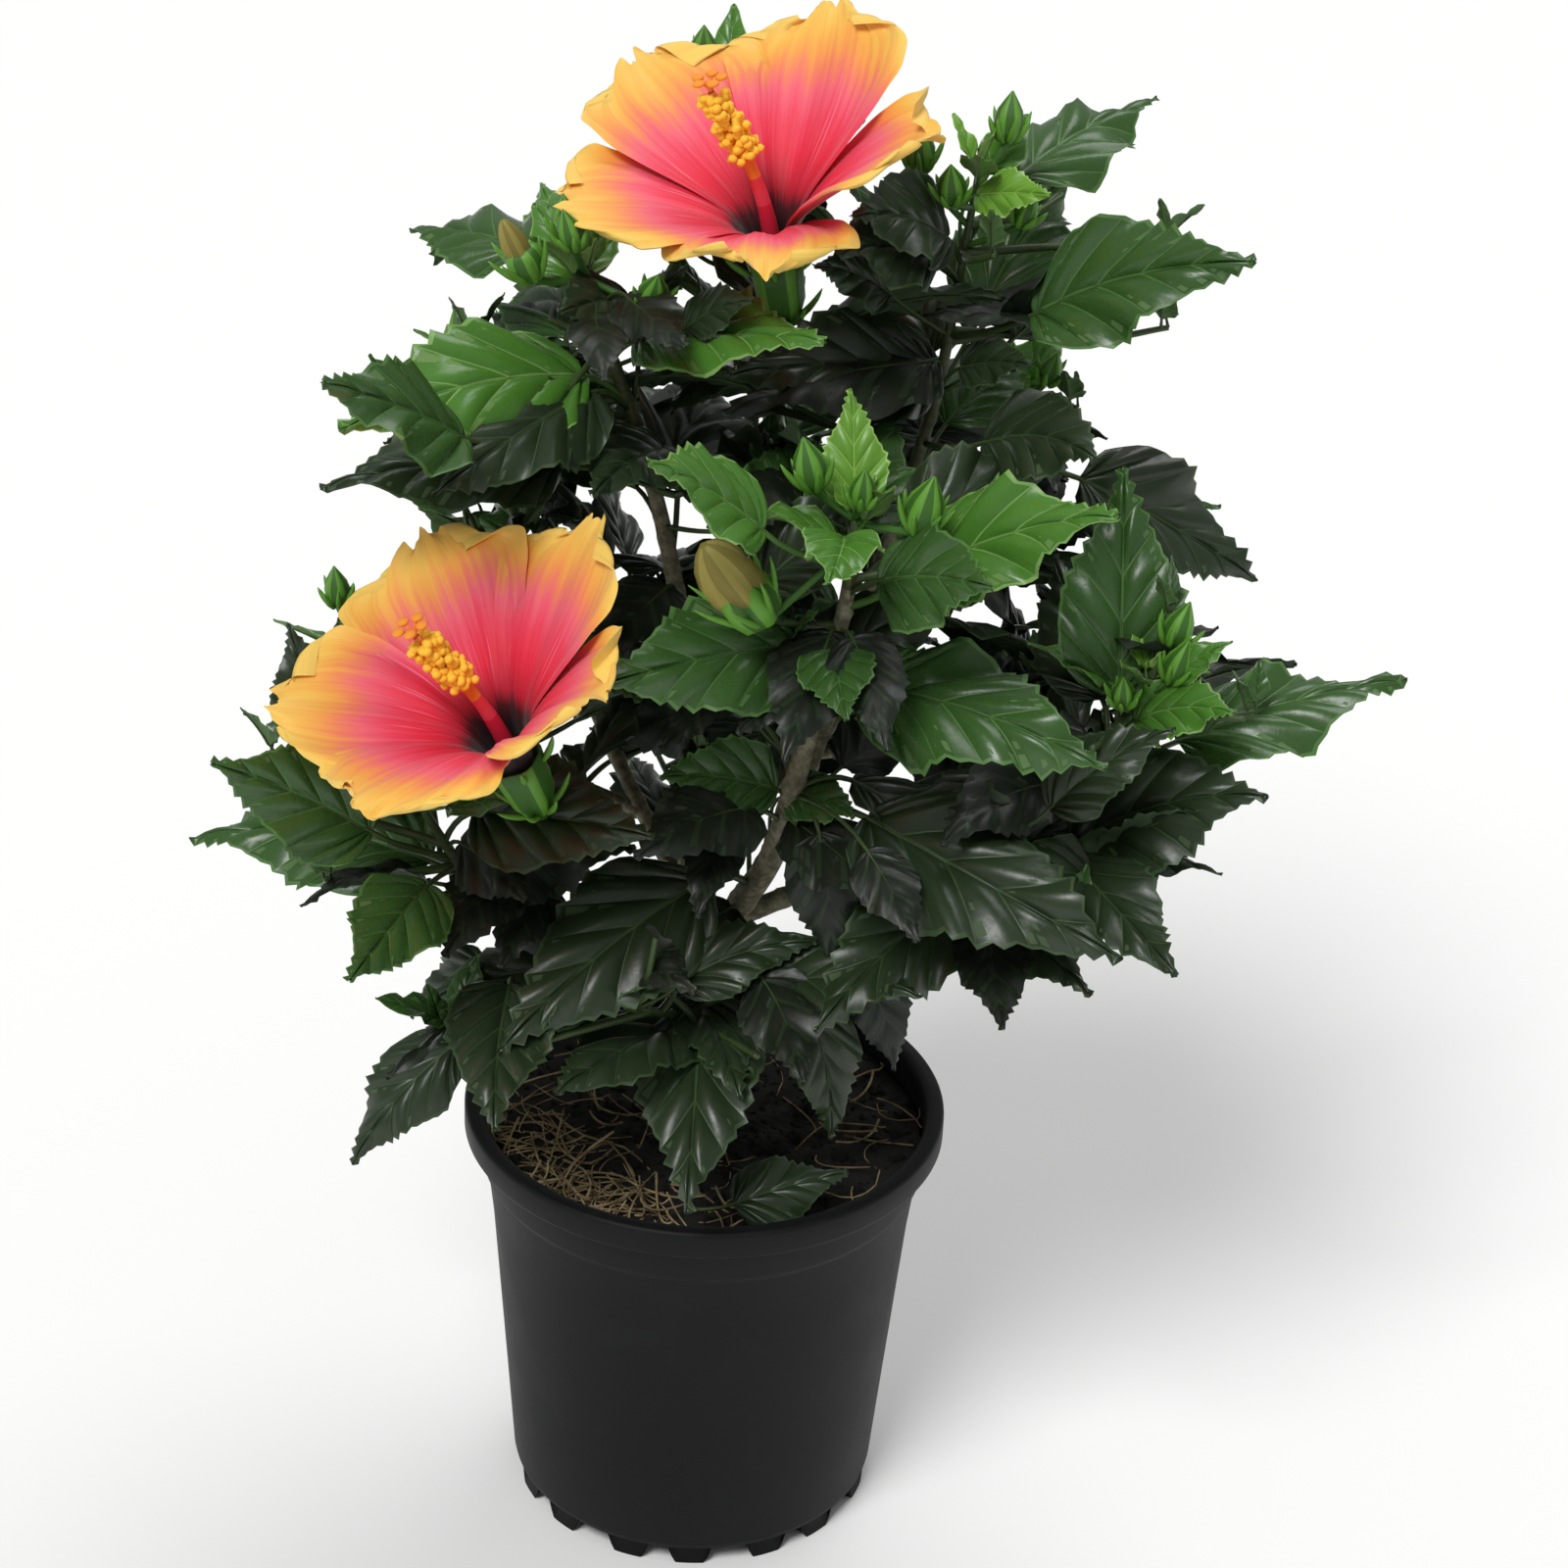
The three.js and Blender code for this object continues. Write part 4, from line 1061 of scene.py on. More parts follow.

# %% [markdown]
# Each shoot and twig is then dressed with leaves. A new blade has to stay in the crown, leave room for the
# blooms and its neighbours, and keep clear of the light that falls on the bright leaves set one by one.

# %% Leaves grown by rule
SHADE_WIDTH = 26 * MM
# leaves below this height take the deep tone as painted shade
PAINTED_SHADE_BELOW = 310 * MM
in_view = np.array([middle for middle, row in zip(leaves.middles, leaves.rows) if row["tone"] < 3])


def hides_a_set_leaf(middle):
    """Whether a point is close beside the way out to the window from a set leaf that isn't dark."""
    away = middle - in_view
    outward = away @ WINDOW
    beside = np.linalg.norm(away - outward[:, None] * WINDOW, axis=1)
    return np.any((outward > 0) & (beside < SHADE_WIDTH))


def blade_fits(base, turn, lift, length):
    """Whether a new blade stays in the crown: its tip near a mass, its middle inside one, clear of blooms."""
    middle, tip = (base + heading(turn, lift) * length * share for share in (0.5, 1.0))
    node, deep = deepest(middle)
    _, tip_deep = deepest(tip)
    if deep < (0 if node in BEHIND else 4 * MM) or tip_deep < (-5 if node in BEHIND else -2) * MM:
        return False
    if in_a_bloom(np.array([base, middle, tip])) or hides_a_set_leaf(middle):
        return False
    crowd = np.linalg.norm(np.array(leaves.middles) - middle, axis=1)
    return crowd.min() > (12 * MM if node in BEHIND else 10 * MM)


def dress(line, first, spacing, biggest, tries=4):
    """Hangs leaves along a line: one at each joint, bigger low down, turned by the golden angle each time."""
    length = length_of(line)
    turn = chance.uniform(0, 6.28)
    for place in np.arange(first * length, length, spacing):
        share = place / length
        index = int(share * (len(line) - 1))
        turn += GOLDEN
        for attempt in range(tries):
            size = biggest * (1 - 0.35 * share) * chance.uniform(0.8, 1.12)
            way = turn + attempt * 1.3 + chance.normal(0, 0.25)
            lift = math.radians(chance.normal(-12 + 34 * share, 14))
            stalk = chance.uniform(14, 34) * MM
            rise = math.radians(chance.uniform(10, 50))
            base = line[index] + stalk * heading(way, rise)
            if blade_fits(base, way, lift, size):
                _, depth = deepest(base + heading(way, lift) * size * 0.5)
                # Painted shade: the deeper in the crown a leaf stands, or the lower, the darker its tone.
                if depth > 16 * MM:
                    tone = SHADED
                elif depth > 7 * MM or base[2] < PAINTED_SHADE_BELOW:
                    tone = 3
                else:
                    tone = chance.choice([2, 3, 2])
                leaves.add(line[index], base, way, lift, size, tone)
                break


for node in LIMBS:
    dress(shoots[node][0], 0.40, 10 * MM, 84 * MM)
for twig in twigs:
    dress(twig, 0.25, 8 * MM, 80 * MM)
print("leaves in all", len(leaves.rows))

# %% [markdown]
# At the end of each shoot the youngest leaves stand up in a tuft, small, folded and bright high up; low down
# and on twigs they take the mature tone as painted shade.

# %% Young leaves at the shoots' ends
BRIGHT_ABOVE = 270 * MM
tufts = Grown()
ends = [(line, 5) for node, (line, _) in shoots.items() if node in LEADERS]
ends += [(twig, 2) for twig in twigs[::2]]
for line, count in ends:
    tip, way = line[-1], unit(line[-1] - line[-6])
    turn = chance.uniform(0, 6.28)
    for number in range(count):
        turn += GOLDEN
        lift = math.radians(66 - 10 * number + chance.normal(0, 7))
        size = (13 + 5 * number + chance.normal(0, 2)) * MM
        foot = tip - way * number * 2.5 * MM
        base = foot + heading(turn, lift) * (3 + 1.5 * number) * MM
        if not in_a_bloom(np.array([base, base + heading(turn, lift) * size])):
            # painted shade: only tufts high on the leaders keep the bright young tones
            bright = count > 2 and tip[2] > BRIGHT_ABOVE
            tone = int(number >= 2) if bright else 2
            tufts.add(foot, base, turn, lift, size, tone, (0.2, 0.5), share=0.3)
            tufts.rows[-1]["fold"] = chance.uniform(0.3, 0.8)
print("young leaves", len(tufts.rows))

# %% [markdown]
# ## Finishes of the leaves
# The upper side of a hibiscus leaf is waxy and shines, and its underside is paler and dull. Young leaves
# are yellow-green and old ones dark green; the deep and shaded tones go darker still, as painted shade on
# leaves inside the crown and low down. The colours have their places, leaf by leaf, so each tone is a set
# of plain base colours, and only shine and fine relief vary within a leaf.

# %% Leaf finishes
TONES = {  # roughness of the blade, then the colours of blade, veins and underside
    "young": (0.33, "#689A34", "#94BC5C", "#87A65A"),
    "fresh": (0.24, "#48782A", "#769E54", "#648644"),
    "mature": (0.26, "#355626", "#4C7238", "#506E3E"),
    # deep and shaded: dark old green made darker still by painted shade
    "deep": (0.32, "#26341F", "#34482A", "#3B4E32"),
    "shaded": (0.42, "#171F14", "#22301D", "#263422"),
}


def leaf_finish(name, colour, shine, grain_mm, depth_mm):
    """A leaf skin: its roughness wanders round a mean, and a fine grain breaks up the shine."""
    dulling = (shine - 0.1, shine + 0.14)
    return new_finish(
        name, colour, grain=(grain_mm, 4), dulling=dulling, depth=(depth_mm, 0.5), Roughness=shine, IOR=1.45
    )


leaf_finishes = []
for tone, (shine, blade, vein, underside) in TONES.items():
    leaf_finishes += [
        leaf_finish(f"leaf_{tone}", blade, shine, 2.4, 0.14),
        leaf_finish(f"vein_{tone}", vein, 0.40, 1.6, 0.08),
        leaf_finish(f"underside_{tone}", underside, 0.62, 1.8, 0.20),
    ]

# %% [markdown]
# A leaf belongs to the mass that its middle lies deepest in. The leaves of a few masses together make one
# piece, which stands for those masses. Shaded leaves and young ones are pieces of their own.

# %% Leaf pieces
REGIONS = {
    "leaves_upper": ("upper_left", "upper_right", "top_back", "core"),
    "leaves_front": ("centre", "heart", "low_front"),
    "leaves_right": ("right", "lower_right", "right_back"),
    "leaves_left": ("lower_left", "left", "low_left", "left_back"),
    "leaves_behind": ("back_left", "back_right", "back_low"),
}
region_of = {f"foliage_{mass}": region for region, masses in REGIONS.items() for mass in masses}
region_of_leaf = np.array([region_of[deepest(middle)[0]] for middle in leaves.middles])
is_inner = np.array([row["tone"] == SHADED for row in leaves.rows])
for region, masses in REGIONS.items():
    heap = Heap()
    add_leaves(heap, leaves.arrays(np.flatnonzero((region_of_leaf == region) & ~is_inner)), BIG_LEAF)
    make_piece(region, heap, leaf_finishes, [f"foliage_{mass}" for mass in masses], "OFBake")
inner = leaves.arrays(np.flatnonzero(is_inner))
for name, grown, grid in (("inner_leaves", inner, INNER_LEAF), ("young_leaves", tufts.arrays(), SMALL_LEAF)):
    heap = Heap()
    add_leaves(heap, grown, grid)
    make_piece(name, heap, leaf_finishes, map_name="OFBake")

# %% [markdown]
# Each blade sits on a stalk that leaves the shoot upwards and arches over, and goes on under the blade as
# its midrib. One tapered tube is both.

# %% Stalks, midribs and twigs
def stalks_and_ribs(grown, thickness):
    """Tubes from the shoot to the blade along a quadratic curve, then under the midrib to near its tip."""
    fields = grown.arrays()
    feet, bases = np.array(grown.feet), fields["base"]
    reach = np.linalg.norm(bases - feet, axis=1)[:, None]
    start_way = heading(fields["turn"], fields["lift"] + 0.5 * fields["droop"])
    bend = bases - start_way * reach * 0.42
    t = np.linspace(0, 1, 6)[None, :, None]
    stalk = (1 - t) ** 2 * feet[:, None] + 2 * t * (1 - t) * bend[:, None] + t**2 * bases[:, None]
    stations = np.broadcast_to(np.linspace(0.06, 0.86, 7), (len(feet), 7))
    place, _, normal = midribs(fields, stations)
    below = 0.006 * fields["length"][:, None, None] + 0.35 * MM
    lines = np.concatenate([stalk, place - below * normal], axis=1)
    taper = np.concatenate([np.linspace(1.25, 0.95, 6), np.linspace(0.85, 0.25, 7)])
    return lines, thickness[:, None] * taper


stalk_heap = Heap()
for grown in (leaves, tufts):
    lines, radii = stalks_and_ribs(grown, 0.009 * grown.arrays()["length"] + 0.35 * MM)
    # stalks of mature, deep and shaded leaves take the darker green; for the deep and shaded ones it is
    # painted shade
    shade = (grown.arrays()["tone"] > 1).astype(int)
    for value in (0, 1):
        add_tubes(stalk_heap, lines[shade == value], radii[shade == value], 5, value)
make_piece("leaf_stalks", stalk_heap, [stalk_green, shoot_green])

twig_heap = Heap()
add_tubes(twig_heap, np.array(twigs), np.linspace(1.7, 1.0, TWIG_POINTS) * MM, 8)
make_piece("twigs", twig_heap, [shoot_green])

# %% [markdown]
# ## The blooms
# A hibiscus bloom is five broad petals that overlap like a pinwheel. They close to a tube at the foot, open
# to a wide bowl, and ruffle at the edge. Each petal is a grid: one way runs from the throat to the edge,
# and the other across. The colour goes from a dark throat through red and pink to orange and a yellow edge.

# %% Petals
PETAL_ROWS, PETAL_COLUMNS = 56, 45


def bloom_frame(node, turn):
    """A bloom's throat and its three directions: across at the given turn, across again, and its axis."""
    throat, axis = BLOOMS[node]
    first = unit(np.cross([0, 0, 1.0], axis))
    second = np.cross(axis, first)
    a, b = math.cos(turn), math.sin(turn)
    return throat, np.stack([first * a + second * b, second * a - first * b, axis])


# The bowl's section as radius and height in mm, and a petal's half width in mm at each share of its length.
SECTION = [(0, -38), (4, -27), (7, -12), (11, -3), (18, 4), (32, 13), (48, 21), (64, 27), (80, 31)]
WIDTHS = [(0, 2.4), (0.12, 10), (0.3, 21), (0.5, 28.5), (0.7, 31.5), (0.86, 28.5), (0.95, 22), (1, 13)]
FUNNEL = smooth_line(SECTION, 90) * MM
HALF_WIDTH = smooth_line(WIDTHS, 60)


def petal(angle, reach, swing, cone, ruffle, curl, phase):
    """One petal in the bloom's own frame, its points row by row from the throat to the edge.

    u runs along and v across. The length at v is 60 u - 13 u^4 v^2 mm with a scalloped edge, and the half
    width follows WIDTHS. The height is the bowl's plus a tilt that lays each petal over its neighbour,
    ruffles that grow towards the edge, one broad wave, fine veins, and a side that curls up."""
    u = np.linspace(0, 1, PETAL_ROWS)[:, None] ** 0.92
    v = np.linspace(-1, 1, PETAL_COLUMNS)[None, :]
    half = np.interp(u, *HALF_WIDTH.T) * MM * reach
    scallop = 1.5 * np.sin(5 * v + phase) + 1.3 * np.sin(12 * v + 2.3 * phase) + 0.8 * np.sin(26 * v + phase)
    along = (3.5 + (60 + scallop) * u - 13 * u**4 * v**2) * MM * reach
    ripple = 1 + 0.025 * np.sin(13 * u + 2 * phase + 2 * np.sign(v)) * u + 0.012 * np.sin(31 * u + phase) * u
    across = half * v * ripple
    radius = np.hypot(along, across)
    bearing = angle + np.arctan2(across, along) + swing * u
    height = np.interp(radius, *FUNNEL.T) + (1 / math.tan(cone) - 0.5) * np.maximum(radius - 10 * MM, 0)
    height = height - 3.0 * MM * v * np.clip(u * 2, 0, 1) * (0.4 + 0.6 * u)
    edge = np.maximum(u**6, (np.abs(v) * np.clip(u * 1.5, 0, 1)) ** 4)
    ruffles = np.sin(9 * u + 3.3 * v + phase) + 0.7 * np.sin(12 * v + 2 * phase + 2 * u)
    ruffles = ruffle * edge * (ruffles + 0.35 * np.sin(24 * v - phase + 9 * u))
    broad_wave = 1.2 * np.cos(3.1 * v * np.pi + phase) * np.sin(np.pi * u)
    fine_veins = 0.2 * np.cos(16 * np.pi * v) * np.sin(np.pi * np.clip(u * 1.1, 0, 1))
    curled_side = curl * np.clip(v, 0, 1) ** 3 * u**1.5
    height = height + (ruffles + broad_wave + fine_veins + curled_side) * MM
    return turned(radius, height, bearing), np.broadcast_to(u, radius.shape), np.broadcast_to(v, radius.shape)


# turn of the whole bloom in degrees, then for each petal: reach as a factor, swing and cone in degrees,
# ruffle in mm, and how far the side that lies under its neighbour curls up in mm
PETALS = {
    "bloom_upper": (31, [
        (1.0, -6, 60, 1.7, 10), (1.06, 14, 54, 1.5, 0), (1.05, 1, 58, 1.4, 0),
        (1.03, 3, 68, 1.6, 0), (0.96, 2, 76, 2.8, 0),
    ]),
    "bloom_lower": (16, [
        (0.97, -3, 60, 1.8, 8), (0.98, 8, 56, 1.3, 0), (1.03, -2, 60, 1.3, 0),
        (1.0, 1, 62, 1.4, 0), (1.0, -7, 64, 2.2, 0),
    ]),
}
PETAL_THICKNESS = 0.35 * MM
bloom_axes = {node: bloom_frame(node, math.radians(turn)) for node, (turn, _) in PETALS.items()}

# %% [markdown]
# A petal is thin living tissue with a silky, slightly see-through skin. Its colours run along its length in
# soft streaks that fan out from the throat, so its material reads each petal's own place: how far along, how
# far across, and which petal. Noise that is slow along and fast across makes the streaks and the fine veins.

# %% Petal finish
petal_skin = new_finish("petal_silk", Roughness=0.55, IOR=1.4, Subsurface_Weight=0.12, Subsurface_Scale=0.002,
                        Sheen_Weight=0.15)
petal_tree = petal_skin.node_tree
petal_shader = petal_tree.nodes["Principled BSDF"]
place = add(petal_tree, "ShaderNodeAttribute", attribute_name="petal_place")
split = add(petal_tree, "ShaderNodeSeparateXYZ", {"Vector": place.outputs["Vector"]})
length_share, width_share, petal_number = (split.outputs[axis] for axis in "XYZ")


def step(operation, first, second=0.0, clamp=False):
    """One arithmetic step of the petals' pattern; each term is a number or a socket."""
    terms = {0: first, 1: second}
    return add(petal_tree, "ShaderNodeMath", terms, operation=operation, use_clamp=clamp).outputs[0]


def fan_noise(along, across, detail):
    """Noise read slowly along a petal and fast across it, so that its grains are streaks from the throat."""
    factors = {"X": (length_share, along), "Y": (width_share, across), "Z": (petal_number, 3.7)}
    stretched = {axis: step("MULTIPLY", *pair) for axis, pair in factors.items()}
    place = add(petal_tree, "ShaderNodeCombineXYZ", stretched).outputs["Vector"]
    inputs = {"Vector": place, "Scale": 1.0, "Detail": detail}
    return add(petal_tree, "ShaderNodeTexNoise", inputs).outputs["Fac"]


def between(value, low, high, to_low=0.0, to_high=1.0):
    """A value's place between two others, held to the range it is mapped to."""
    limits = {"Value": value, "From Min": low, "From Max": high, "To Min": to_low, "To Max": to_high}
    return add(petal_tree, "ShaderNodeMapRange", limits).outputs["Result"]


# The colour's place is the share of the length, pushed outwards along the side edges and shifted by streaks.
streak = step("MULTIPLY", step("SUBTRACT", fan_noise(1.5, 15.0, 4.0), 0.5), 0.32)
shift = step("MULTIPLY", streak, between(length_share, 0.05, 0.5, 0.15, 1.0))
side_share = step("POWER", step("ABSOLUTE", width_share), 4.0)
side_edge = step("MULTIPLY", side_share, step("MULTIPLY", length_share, 0.42))
colour_place = step("ADD", step("ADD", length_share, side_edge), shift, clamp=True)
blush = add(petal_tree, "ShaderNodeValToRGB", {"Fac": colour_place})
ramp_stops(blush, [
    (0.065, "#180508"), (0.105, "#480A14"), (0.15, "#BC1230"), (0.28, "#E2203E"), (0.42, "#EC3E5A"),
    (0.54, "#F06276"), (0.64, "#F2825F"), (0.73, "#F5A04C"), (0.84, "#F6B84E"), (1.0, "#F7CA60"),
])
vein_noise = fan_noise(2.2, 34.0, 2.0)
middle_zone = step("MULTIPLY", between(length_share, 0.62, 0.34), between(length_share, 0.14, 0.28))
pale = step("MULTIPLY", between(vein_noise, 0.58, 0.72, 0.0, 0.5), middle_zone)
paled = {0: pale, 6: blush.outputs["Color"], 7: linear("#F490A8")}
petal_colour = add(petal_tree, "ShaderNodeMix", paled, data_type="RGBA")
petal_tree.links.new(petal_colour.outputs[2], petal_shader.inputs["Base Color"])
relief(petal_tree, petal_shader, vein_noise, 0.35, 0.6)

# %% [markdown]
# Each petal becomes a thin closed sheet, and its points keep their places for the material.

# %% Petal pieces
over, under, rim = sheet_faces(PETAL_ROWS, PETAL_COLUMNS, ends=True)
MAP_COLUMNS, MAP_ROWS = 4, 3  # cells of the flat map, one for each side of each petal
for node, (turn, shapes) in PETALS.items():
    throat, axes = bloom_axes[node]
    heap, places = Heap(), []
    for number, (reach, swing, cone, ruffle, curl) in enumerate(shapes):
        angle, phase = number * ONE_TURN / 5, 1.7 * number + math.radians(turn)
        points, u, v = petal(angle, reach, math.radians(swing), math.radians(cone), ruffle, curl, phase)
        along, across = np.gradient(points, axis=(0, 1))
        below = points + unit(np.cross(across, along)) * PETAL_THICKNESS
        corners, marks, flat = (
            np.concatenate([side.reshape(-1, side.shape[-1]) for side in (upper, lower[1:-1, 1:-1])])
            for upper, lower in (
                (points, below),
                (np.stack([u, v, np.full_like(u, number)], axis=-1),) * 2,
                (in_cell(np.stack([v / 2 + 0.5, u], axis=-1), 0.03),) * 2,
            )
        )
        places.append(marks)
        cells = [divmod(2 * number + sheet, MAP_COLUMNS)[::-1] for sheet in (0, 1)]
        maps = [(flat[faces] + cell) / [MAP_COLUMNS, MAP_ROWS] for faces, cell in zip((over, under), cells)]
        quads, face_map = np.concatenate([over, under]), np.concatenate(maps)
        heap.add(throat + corners @ axes, quads, face_map=face_map, rim=rim)
    piece = make_piece(f"{node}_petals", heap, [petal_skin], [node], "OFBake")
    layer = piece.data.attributes.new("petal_place", "FLOAT_VECTOR", "POINT")
    layer.data.foreach_set("vector", np.concatenate(places).astype(np.float32).ravel())

# %% [markdown]
# From the throat stands the column, which carries the anthers round its outer part, and splits at its end
# into five short arms, each with a round velvety pad.

# %% Columns with anthers and pads
column_heap = Heap()


def add_beads(heap, middles, ways, size, flatness, finish, sides=8):
    """Small rounded beads: a ball of a size at each middle, squeezed along its way by the flatness."""
    share = np.linspace(-1, 1, 7)
    lines = middles[:, None] + ways[:, None] * (share[:, None] * size * flatness * 0.98)
    profile = np.sqrt(1.02 - share**2) * size
    add_tubes(heap, lines, profile, sides, finish)


COLUMN_REACH = {"bloom_upper": 40 * MM, "bloom_lower": 35 * MM}
SPINE_POINTS, COLUMN_SIDES, ANTHERS = 40, 14, 170
FINISH_STEPS = [(0.38, 0), (0.45, 5), (0.52, 1), (1.0, 2)]  # share of the length where each finish ends
for node, (throat, axes) in bloom_axes.items():
    axis = axes[2]
    lean = np.array([-1.0, 0, 0.1])
    reach = COLUMN_REACH[node]
    upright = [throat + along * axis for along in (-24 * MM, 0, reach * 0.5, reach)]
    spine = smooth_line(np.array(upright) + np.outer([0, 0, 3.5, 11], lean) * MM, SPINE_POINTS)
    thick = np.interp(np.linspace(0, 1, SPINE_POINTS), [0, 0.3, 0.6, 1], [3.4, 2.6, 1.9, 1.3]) * MM
    add_tubes(column_heap, spine[None], thick[None], COLUMN_SIDES)
    row_share = np.arange(SPINE_POINTS - 1) / (SPINE_POINTS - 1)
    row_finish = [next(number for limit, number in FINISH_STEPS if share < limit) for share in row_share]
    column_heap.quad_finish[-1] = np.repeat(row_finish, COLUMN_SIDES)
    share = chance.uniform(0.66, 0.97, ANTHERS)
    index = (share * (SPINE_POINTS - 1)).astype(int)
    turn = np.arange(ANTHERS) * GOLDEN
    out = axes[0] * np.cos(turn)[:, None] + axes[1] * np.sin(turn)[:, None]
    out = unit(out + axis * chance.normal(0.25, 0.25, ANTHERS)[:, None])
    stand = chance.uniform(2.0, 5.4, ANTHERS)[:, None] * MM
    heads = spine[index] + out * stand
    threads = spine[index][:, None] + (heads - spine[index])[:, None] * np.linspace(0, 1, 4)[None, :, None]
    add_tubes(column_heap, threads, 0.32 * MM, 4, 2)
    add_beads(column_heap, heads, unit(np.cross(out, axis)), 1.5 * MM, 1.05, 3, sides=6)
    tip, arm_turn = spine[-1], np.arange(5) * ONE_TURN / 5 + 0.4
    spread = axes[0] * np.cos(arm_turn)[:, None] + axes[1] * np.sin(arm_turn)[:, None]
    pads = tip + axis * 4.5 * MM + spread * 4.0 * MM
    arms = np.stack([np.broadcast_to(tip, (5, 3)), tip + axis * 3 * MM + spread * 1.4 * MM, pads], axis=1)
    arms = np.stack([smooth_line(arm, 7) for arm in arms])
    add_tubes(column_heap, arms, 0.55 * MM, 6, 2)
    add_beads(column_heap, pads, np.broadcast_to(axis, (5, 3)), 2.0 * MM, 0.5, 4, sides=12)


# Soft flower flesh is matt, and pollen makes it powdery: name, colour, roughness and depth of grain in mm.
FLOWER_FLESH = [
    ("column_red", "#CC2440", 0.5, 0.08), ("column_coral", "#E2404E", 0.5, 0.08),
    ("column_orange", "#F08A2C", 0.5, 0.08), ("anther_yellow", "#FFC83C", 0.85, 0.25),
    ("pad_orange", "#F4962E", 0.8, 0.2), ("column_scarlet", "#E04458", 0.5, 0.08),
]
column_finishes = [
    new_finish(name, colour, grain=(0.8, 3), depth=(depth_mm, 0.7), Roughness=roughness)
    for name, colour, roughness, depth_mm in FLOWER_FLESH
]
make_piece("columns", column_heap, column_finishes)

# %% [markdown]
# ## Buds
# A bud is a green calyx with five ribs on a short stalk, and round its foot stand seven narrow bracts. The
# same calyx, opened, holds each bloom from below. An old bud shows its rolled yellow petals at the tip.

# %% Buds, bracts and calyces
bud_heap = Heap()


def across_of(axis):
    """Two directions square to an axis."""
    first = unit(np.cross(axis, [0.31, 0.9, 0.3]))
    return first, np.cross(axis, first)


RIBS = 5


def add_ribbed_body(heap, foot, axis, profile, rib_depth, light, dark, sides=20, twist=0.0):
    """A turned body: radius = profile * (1 + depth * cos(ribs * turn)), with grooves darker than ribs as
    painted shade.
    """
    rows = len(profile)
    turn = np.linspace(0, ONE_TURN, sides, endpoint=False)[None]
    along, radius = np.array(profile).T[:, :, None]
    reach = radius * (1 + rib_depth * np.cos(RIBS * (turn + twist * along / MM)))
    points = foot + turned(reach, along, turn) @ np.stack([*across_of(axis), axis])
    quads = grid_quads(rows, sides, closed=True)
    s = np.arange(sides)
    caps = np.stack([(s + 1) % sides, s, np.full(sides, rows * sides)], axis=1)
    last = (rows - 1) * sides
    ends = np.stack([last + s, last + (s + 1) % sides, np.full(sides, rows * sides + 1)], axis=1)
    poles = np.stack([foot + along[0, 0] * axis, foot + along[-1, 0] * axis])
    finish = np.tile(np.where(np.cos(RIBS * (turn[0] + np.pi / sides)) > 0.2, light, dark), rows - 1)
    corners = np.concatenate([points.reshape(-1, 3), poles])
    heap.add(corners, quads, np.concatenate([caps, ends]), finish, dark)


def add_bracts(heap, foot, axis, count, length, finish, open_angle, bend=0.5, start=2.2 * MM):
    """Narrow pointed bracts round a foot, each a curved tube that leans out and bends up again."""
    first, second = across_of(axis)
    turn = np.arange(count) * ONE_TURN / count + chance.uniform(0, 6)
    out = first * np.cos(turn)[:, None] + second * np.sin(turn)[:, None]
    t = np.linspace(0, 1, 8)[None, :, None]
    rise = math.cos(open_angle) * t + 0.3 * bend * t**2
    away = math.sin(open_angle) * (t - bend * 0.5 * t**2)
    lengths = length * chance.uniform(0.85, 1.15, count)[:, None, None]
    lines = foot + out[:, None] * start + lengths * (rise * axis + away * out[:, None])
    radii = np.interp(np.linspace(0, 1, 8), [0, 0.35, 0.8, 1], [0.9, 1.25, 0.8, 0.15]) * MM
    add_tubes(heap, lines, radii, 6, finish)


# Height and radius of each body, as shares of the bud's size. The last is the roll of petals in an old bud.
CLOSED = [(0, 0.1), (0.06, 0.2), (0.2, 0.27), (0.42, 0.29), (0.62, 0.24), (0.8, 0.14), (0.93, 0.06), (1, 0.02)]
CALYX = [(0, 0.10), (0.08, 0.2), (0.25, 0.25), (0.42, 0.24), (0.50, 0.20), (0.52, 0.12)]
ROLLED = [(0.3, 0.14), (0.5, 0.17), (0.68, 0.17), (0.85, 0.13), (0.96, 0.08), (1.02, 0.03)]
# the darker finish of each pair is painted shade in the grooves
GROOVE, RIB, FADED_GROOVE, FADED_RIB = range(4)  # finishes of the buds


def add_bud(heap, foot, axis, size, kind):
    """A bud of a size on its foot: green, opening, or faded."""
    if kind == "green":
        add_ribbed_body(heap, foot, axis, np.array(CLOSED) * size, 0.10, RIB, GROOVE)
    else:
        add_ribbed_body(heap, foot, axis, np.array(CALYX) * size, 0.12, RIB, GROOVE)
        rolled = np.array(ROLLED) * [1, 1.4 if kind == "faded" else 1]
        add_ribbed_body(heap, foot, axis, rolled * size, 0.16, FADED_RIB, FADED_GROOVE, twist=0.02)
    add_bracts(heap, foot, axis, 7, size * 0.62, RIB, 0.75)


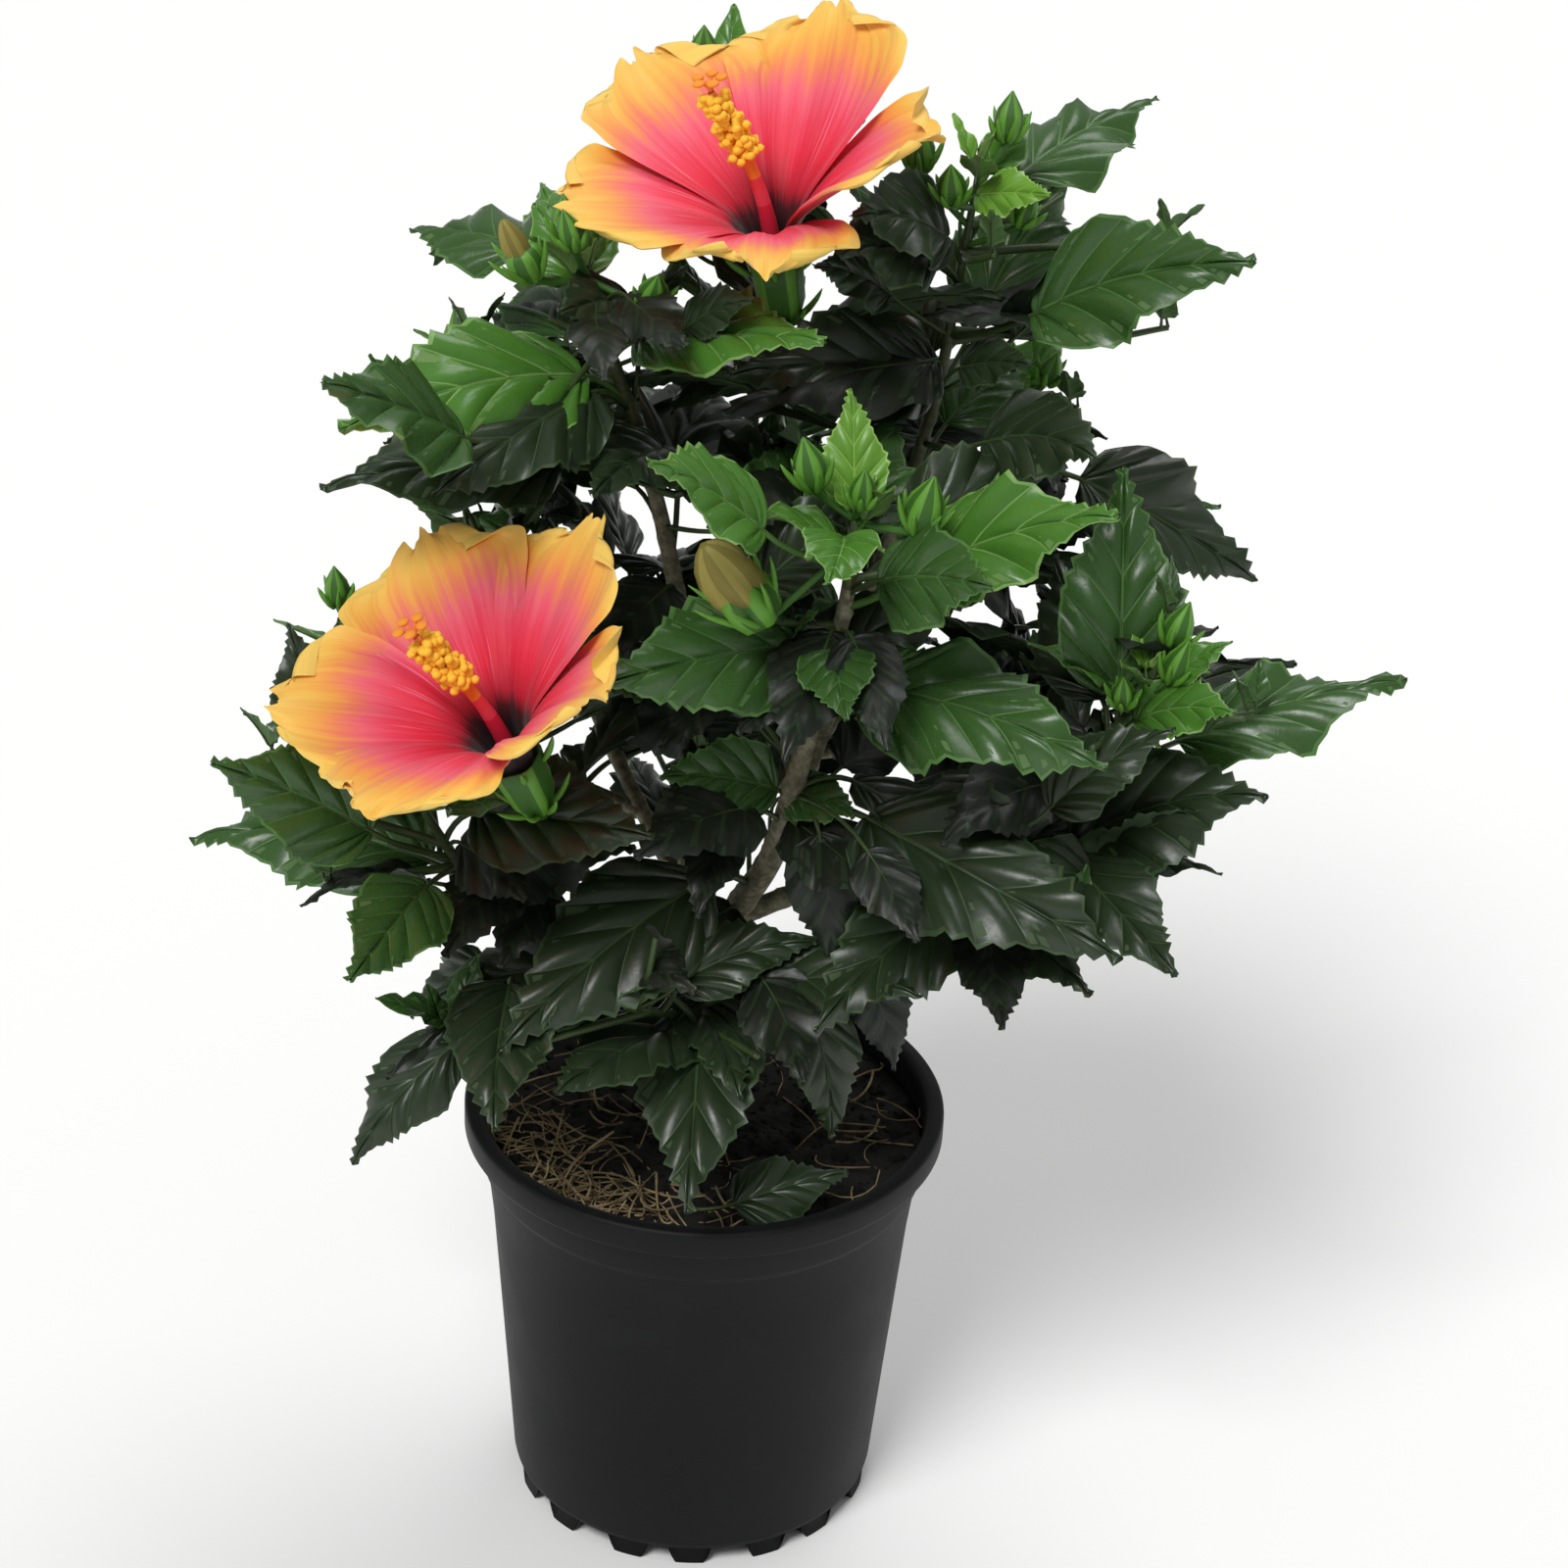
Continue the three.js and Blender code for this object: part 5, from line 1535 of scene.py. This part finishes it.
# shoot, its share, azimuth and rise of the stalk in degrees, stalk and bud in mm, kind
BUDS = [
    ("stem_left", 0.97, 215, 10, 20, 27, "opening"), ("stem_left", 0.99, 190, 60, 14, 17, "green"),
    ("stem_left", 0.99, 250, 50, 16, 16, "green"), ("stem_left", 0.98, 330, -10, 24, 19, "green"),
    ("bough_upper_right", 0.97, 170, 45, 24, 20, "green"),
    ("bough_upper_right", 0.98, 240, 20, 15, 18, "green"),
    ("bough_upper_right", 0.99, 10, 60, 18, 19, "green"),
    ("bough_upper_right", 0.96, 330, 30, 22, 15, "green"),
    ("stem_front", 0.88, 215, -32, 38, 42, "faded"), ("stem_front", 0.97, 200, 40, 18, 21, "green"),
    ("stem_front", 0.96, 330, 5, 22, 24, "green"), ("stem_front", 0.99, 280, 40, 12, 16, "green"),
    ("bough_right", 0.97, 330, 40, 14, 19, "green"), ("bough_right", 0.99, 20, 60, 14, 20, "green"),
    ("bough_right", 0.95, 250, 35, 14, 15, "green"), ("bough_lower_left", 0.99, 120, 60, 12, 17, "green"),
]
for shoot, (line, _) in shoots.items():
    if shoot.startswith("bough_") and "back" in shoot:
        for _ in range(2):
            bud = (shoot, 0.98, chance.uniform(0, 360), chance.uniform(30, 70), chance.uniform(12, 22))
            BUDS.append((*bud, chance.uniform(15, 21), "green"))

STALK_POINTS = 12
BUD_SIZE = 0.85  # of the length given, which counts the bracts
bud_stalks = []
for shoot, share, turn, rise, stalk, size, kind in BUDS:
    foot = on_shoot(shoot, share)
    way = heading(math.radians(turn), math.radians(rise))
    end = foot + way * stalk * MM
    axis = unit(way * 0.45 + np.array([0, 0, 1.0]) + chance.normal(0, 0.12, 3))
    sag = foot + way * stalk * 0.55 * MM - [0, 0, 0.5 * MM]
    bud_stalks.append(smooth_line([foot, sag, end, end + axis * 1.5 * MM], STALK_POINTS))
    add_bud(bud_heap, end, axis, size * BUD_SIZE * MM, kind)
add_tubes(bud_heap, np.array(bud_stalks), np.linspace(1.1, 1.5, STALK_POINTS) * MM, 8)

STEM_OF_BLOOM = {"bloom_upper": "stem_top", "bloom_lower": "bough_bloom"}
for node, (throat, axes) in bloom_axes.items():
    axis = axes[2]
    foot = throat - 40 * MM * axis
    cup = np.array([(0, 3), (1.5, 5), (8, 7.6), (17, 8.4), (24, 9.2), (24.2, 8.6), (17, 6.4), (6, 2.9)]) * MM
    add_ribbed_body(bud_heap, foot, axis, cup, 0.06, RIB, GROOVE, sides=30)
    add_bracts(bud_heap, foot + axis * 20 * MM, axis, 5, 12 * MM, RIB, 0.9, start=8.6 * MM)
    add_bracts(bud_heap, foot, axis, 7, 16 * MM, RIB, 1.1)
    line = shoots[STEM_OF_BLOOM[node]][0]
    halfway = (line[-1] + foot) / 2 - axis * 2 * MM
    pedicel = smooth_line([line[-8], line[-1], halfway, foot + axis * 2 * MM], 20)
    add_tubes(bud_heap, pedicel[None], np.linspace(1.9, 2.2, 20) * MM, 10)

# calyx_green and faded_petal darken the grooves as painted shade; the lighter two colour the ribs and bracts
bud_finishes = [
    leaf_finish("calyx_green", "#38641F", 0.5, 1.2, 0.12),
    leaf_finish("bract_green", "#5E9430", 0.5, 1.2, 0.12),
    leaf_finish("faded_petal", "#7A7030", 0.6, 1.0, 0.15),
    leaf_finish("faded_petal_ridge", "#968A44", 0.6, 1.0, 0.15),
]
make_piece("buds_and_calyces", bud_heap, bud_finishes)

# %% [markdown]
# ## A last measurement
# The finished plant has to fill the same box as the model, so the model's box is written down again.

# %% Sizes
print("model box", np.round(cad_box, 3).tolist())
